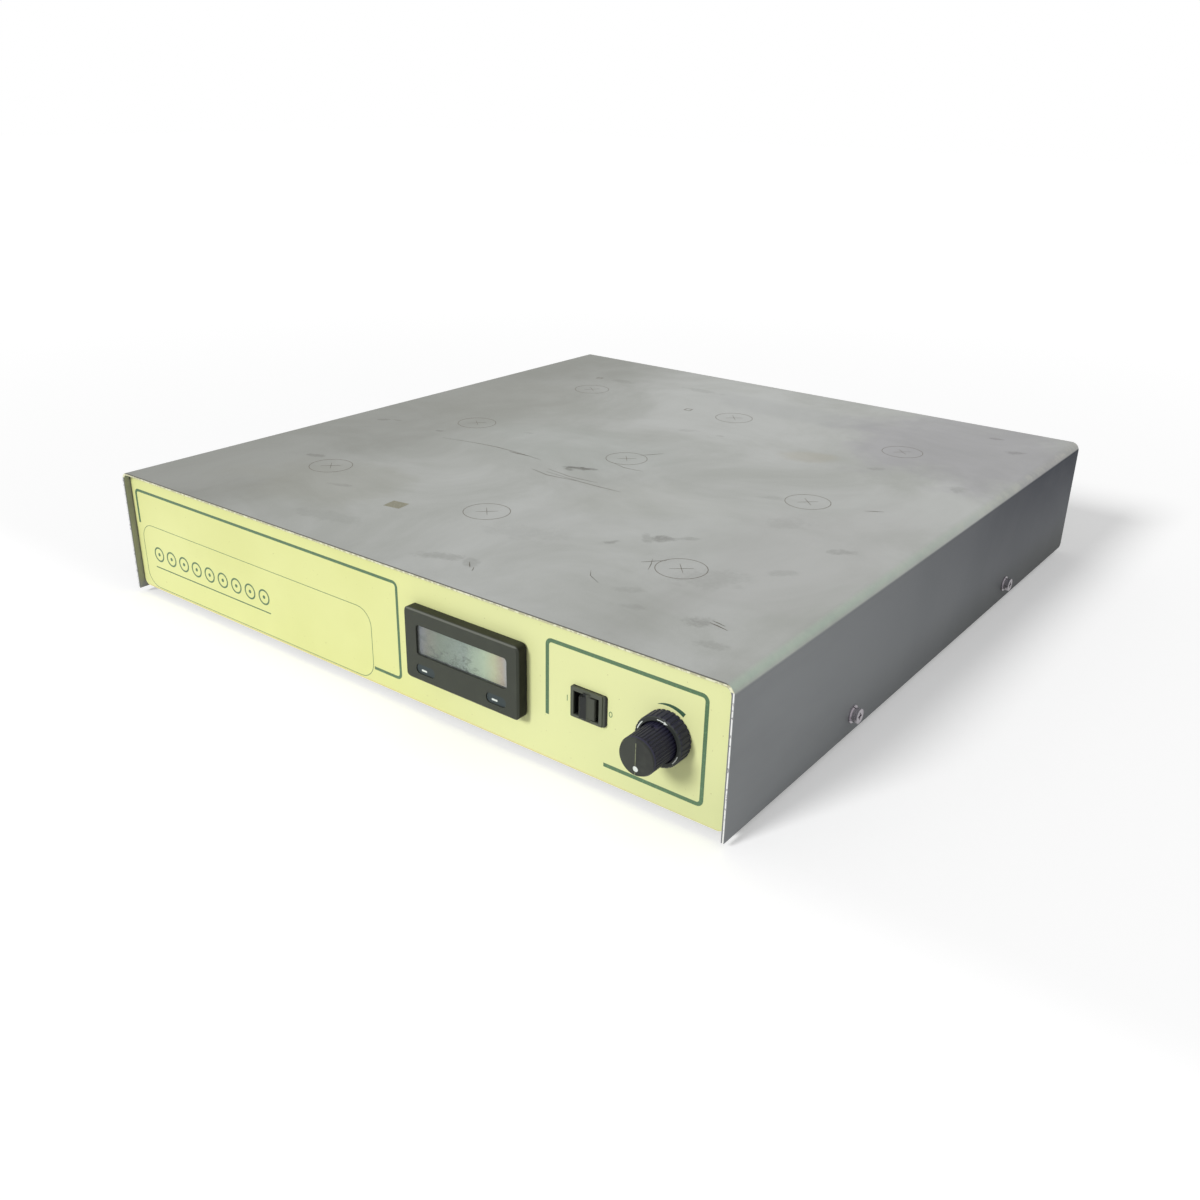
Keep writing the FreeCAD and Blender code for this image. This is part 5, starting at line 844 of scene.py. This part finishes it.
# The arc that widens round the knob, and the marks of the switch.
ARC_RADIUS = 14.6 * MM
ARC_START, ARC_END, ARC_WIDEST = 114.0, 57.0, 2.3 * MM
ARC_THIN_END, ARC_GROWTH = 0.04, 0.7
SWITCH_MARK_HEIGHT = 3.0 * MM
SWITCH_MARK_LINE = 0.4 * MM
OFF_MARK_WIDTH = 2.0 * MM
OVAL_STEP = 11.25
ON_MARK_X, OFF_MARK_X = SWITCH.x - 13.0 * MM, SWITCH.x + 11.8 * MM
SWITCH_MARK_DROP = 0.6 * MM


def speed_arc(build):
    """The arc over the knob, thin at its left end and wide at its right end."""
    path = arc((KNOB.x, KNOB.z), ARC_RADIUS, ARC_START, ARC_END, 3)
    shares = [(k / (len(path) - 1)) ** ARC_GROWTH for k in range(len(path))]
    widths = [ARC_WIDEST * max(ARC_THIN_END, share) for share in shares]
    ribbon(build, path, on_panel, PRINT_THICKNESS, widths)


def switch_marks(build):
    """A bar on the left for on and an oval on the right for off."""
    z = SWITCH.z - SWITCH_MARK_DROP
    half = SWITCH_MARK_HEIGHT / 2
    ribbon(build, [(ON_MARK_X, z - half), (ON_MARK_X, z + half)], on_panel, PRINT_THICKNESS,
           SWITCH_MARK_LINE)
    wide, tall = ((size - SWITCH_MARK_LINE) / 2 for size in (OFF_MARK_WIDTH, SWITCH_MARK_HEIGHT))
    oval = [(OFF_MARK_X + wide * u, z + tall * v) for u, v in circle((0, 0), 1, OVAL_STEP)]
    ribbon(build, oval, on_panel, PRINT_THICKNESS, SWITCH_MARK_LINE, closed=True)


piece("speed_arc_print", speed_arc, dark_green_ink, "root")
piece("switch_marks_print", switch_marks, pale_green_ink, "root")

# White filling on the ring and the knob.
ARROW_RADIUS = 11.0 * MM
ARROW_LINE = 0.45 * MM
ARROW_TAIL = (163.0, 137.0)
ARROW_SHAFT = (93.0, 74.0)
ARROW_HEAD, ARROW_HEAD_HALF_WIDTH = 1.9 * MM, 0.38
DOT_RADIUS = 1.38 * MM
DOT_DROP = 5.6 * MM
DIMPLE_DEPTH = 0.4 * MM


def lock_arrow(build, turn):
    """A clockwise arrow on the ring's face, with a gap between its tail and its shaft."""
    plane = in_front_of(RING_FRONT)
    for start, end in (ARROW_TAIL, ARROW_SHAFT):
        path = arc((KNOB.x, KNOB.z), ARROW_RADIUS, turn + start, turn + end, 4)
        ribbon(build, path, plane, PRINT_THICKNESS, ARROW_LINE)
    tip_turn = math.radians(turn + ARROW_SHAFT[1])
    tip = Vector((KNOB.x + ARROW_RADIUS * math.cos(tip_turn), KNOB.z + ARROW_RADIUS * math.sin(tip_turn)))
    ahead = Vector((math.sin(tip_turn), -math.cos(tip_turn)))
    side = Vector((ahead.y, -ahead.x))
    half = side * ARROW_HEAD * ARROW_HEAD_HALF_WIDTH
    corners = [tip + ahead * ARROW_HEAD, tip + half, tip - half]
    slab(build, [tuple(c) for c in corners], plane, PRINT_THICKNESS)


def knob_dot(build):
    """The white dot in the dimple of the knob's face."""
    centre = (KNOB.x, KNOB.z - DOT_DROP)
    floor = in_front_of(KNOB_FRONT + DIMPLE_DEPTH)
    slab(build, circle(centre, DOT_RADIUS, DOT_STEP), floor, PRINT_THICKNESS)


piece("ring_arrow_top", lambda build: lock_arrow(build, 0.0), white_ink, "ring")
piece("ring_arrow_bottom", lambda build: lock_arrow(build, 180.0), white_ink, "ring")
piece("knob_dot", knob_dot, white_ink, "knob")


# Stage, light and camera.
FLOOR_SIZE = 12.0
FLOOR_SHADE = 0.86
# The floor's own light: near the object, how much more it has far off, and a painted light in front of the
# object that lifts the shade under the panel's lower edge.
FLOOR_GLOW = 0.29
FAR_GLOW, FAR_FROM, FAR_TO = 0.05, 0.35, 1.4
FRONT_SHADOW_FILL, FRONT_FROM, FRONT_TO = 0.09, -0.2, -0.26
CAMERA_PLACE = Vector((0.416636, -0.579137, 0.297339))
CAMERA_AZIMUTH, CAMERA_ELEVATION, CAMERA_ROLL = (math.radians(a) for a in (36.765, 23.941, 1.229))
CAMERA_LENS = 34.674
CAMERA_NEAR = 0.01
SENSOR_WIDTH = 36.0
WHITE = (1.0, 1.0, 1.0, 1.0)
WORLD_LIGHT = 0.42
KEY_LIGHT = 2.31
KEY_SPREAD = math.radians(16.0)
KEY_FROM = Vector((-0.25, -0.92, 0.555))


def seeing_rays(tree):
    """1 for the rays that may see the pale background, otherwise 0."""
    path = tree.nodes.new("ShaderNodeLightPath")
    seen = path.outputs["Is Camera Ray"]
    for kind in ("Is Glossy Ray", "Is Transmission Ray"):
        either = tree.nodes.new("ShaderNodeMath")
        either.operation = "MAXIMUM"
        tree.links.new(seen, either.inputs[0])
        tree.links.new(path.outputs[kind], either.inputs[1])
        seen = either.outputs[0]
    return seen


def make_floor():
    """A wide pale floor that glows a little, so that it fades into the background."""
    mesh = bpy.data.meshes.new("floor")
    half = FLOOR_SIZE / 2
    mesh.from_pydata([(-half, -half, 0), (half, -half, 0), (half, half, 0), (-half, half, 0)], [],
                     [(0, 1, 2, 3)])
    floor = bpy.data.objects.new("floor", mesh)
    bpy.context.scene.collection.objects.link(floor)
    finish = Finish("pale_floor")
    finish.set(base_color=(FLOOR_SHADE, FLOOR_SHADE, FLOOR_SHADE, 1.0), roughness=0.9,
               specular_ior_level=0.0)
    glow = finish.node("ShaderNodeEmission")
    glow.inputs["Color"].default_value = WHITE
    distance = finish.node("ShaderNodeVectorMath", operation="LENGTH")
    finish.join(finish.place, distance.inputs[0])
    far = finish.band(distance.outputs["Value"], FAR_FROM, FAR_TO, FLOOR_GLOW, FLOOR_GLOW + FAR_GLOW)
    _, y, _ = finish.axes()
    # Painted light: the floor glows more in front of the object, over the shade under the panel.
    front = finish.band(y, FRONT_FROM, FRONT_TO, 0.0, FRONT_SHADOW_FILL)
    level = finish.calc("ADD", far, front)
    finish.join(finish.times(seeing_rays(finish.tree), level), glow.inputs["Strength"])
    both = finish.node("ShaderNodeAddShader")
    finish.join(finish.skin.outputs["BSDF"], both.inputs[0])
    finish.join(glow.outputs[0], both.inputs[1])
    finish.join(both.outputs[0], finish.output.inputs["Surface"])
    mesh.materials.append(finish.material)


def make_world():
    """A white background that gives less light than it shows."""
    world = bpy.data.worlds.new("studio")
    bpy.context.scene.world = world
    world.use_nodes = True
    tree = world.node_tree
    background = tree.nodes["Background"]
    background.inputs["Color"].default_value = WHITE
    strength = tree.nodes.new("ShaderNodeMapRange")
    tree.links.new(seeing_rays(tree), strength.inputs["Value"])
    strength.inputs["To Min"].default_value = WORLD_LIGHT
    strength.inputs["To Max"].default_value = 1.0
    tree.links.new(strength.outputs[0], background.inputs["Strength"])


def make_sun():
    """One very soft lamp from the front left, far enough away to light the floor evenly."""
    data = bpy.data.lights.new("key_light", "SUN")
    data.energy = KEY_LIGHT
    data.angle = KEY_SPREAD
    made = bpy.data.objects.new("key_light", data)
    bpy.context.scene.collection.objects.link(made)
    made.rotation_euler = (-KEY_FROM).to_track_quat("-Z", "Y").to_euler()


def make_camera():
    """The view of the photo, with its slight roll."""
    a, e, r = CAMERA_AZIMUTH, CAMERA_ELEVATION, CAMERA_ROLL
    back = Vector((math.sin(a) * math.cos(e), -math.cos(a) * math.cos(e), math.sin(e)))
    level = (-back).cross(Vector((0, 0, 1))).normalized()
    upright = level.cross(-back)
    right = level * math.cos(r) + upright * math.sin(r)
    up = upright * math.cos(r) - level * math.sin(r)
    data = bpy.data.cameras.new("camera")
    data.sensor_fit = "HORIZONTAL"
    data.sensor_width = SENSOR_WIDTH
    data.lens = CAMERA_LENS
    data.clip_start = CAMERA_NEAR
    camera = bpy.data.objects.new("camera", data)
    bpy.context.scene.collection.objects.link(camera)
    camera.matrix_world = Matrix.Translation(CAMERA_PLACE) @ Matrix((right, up, back)).transposed().to_4x4()
    bpy.context.scene.camera = camera


make_floor()
make_world()
make_sun()
make_camera()
bpy.context.scene.view_settings.view_transform = "Standard"
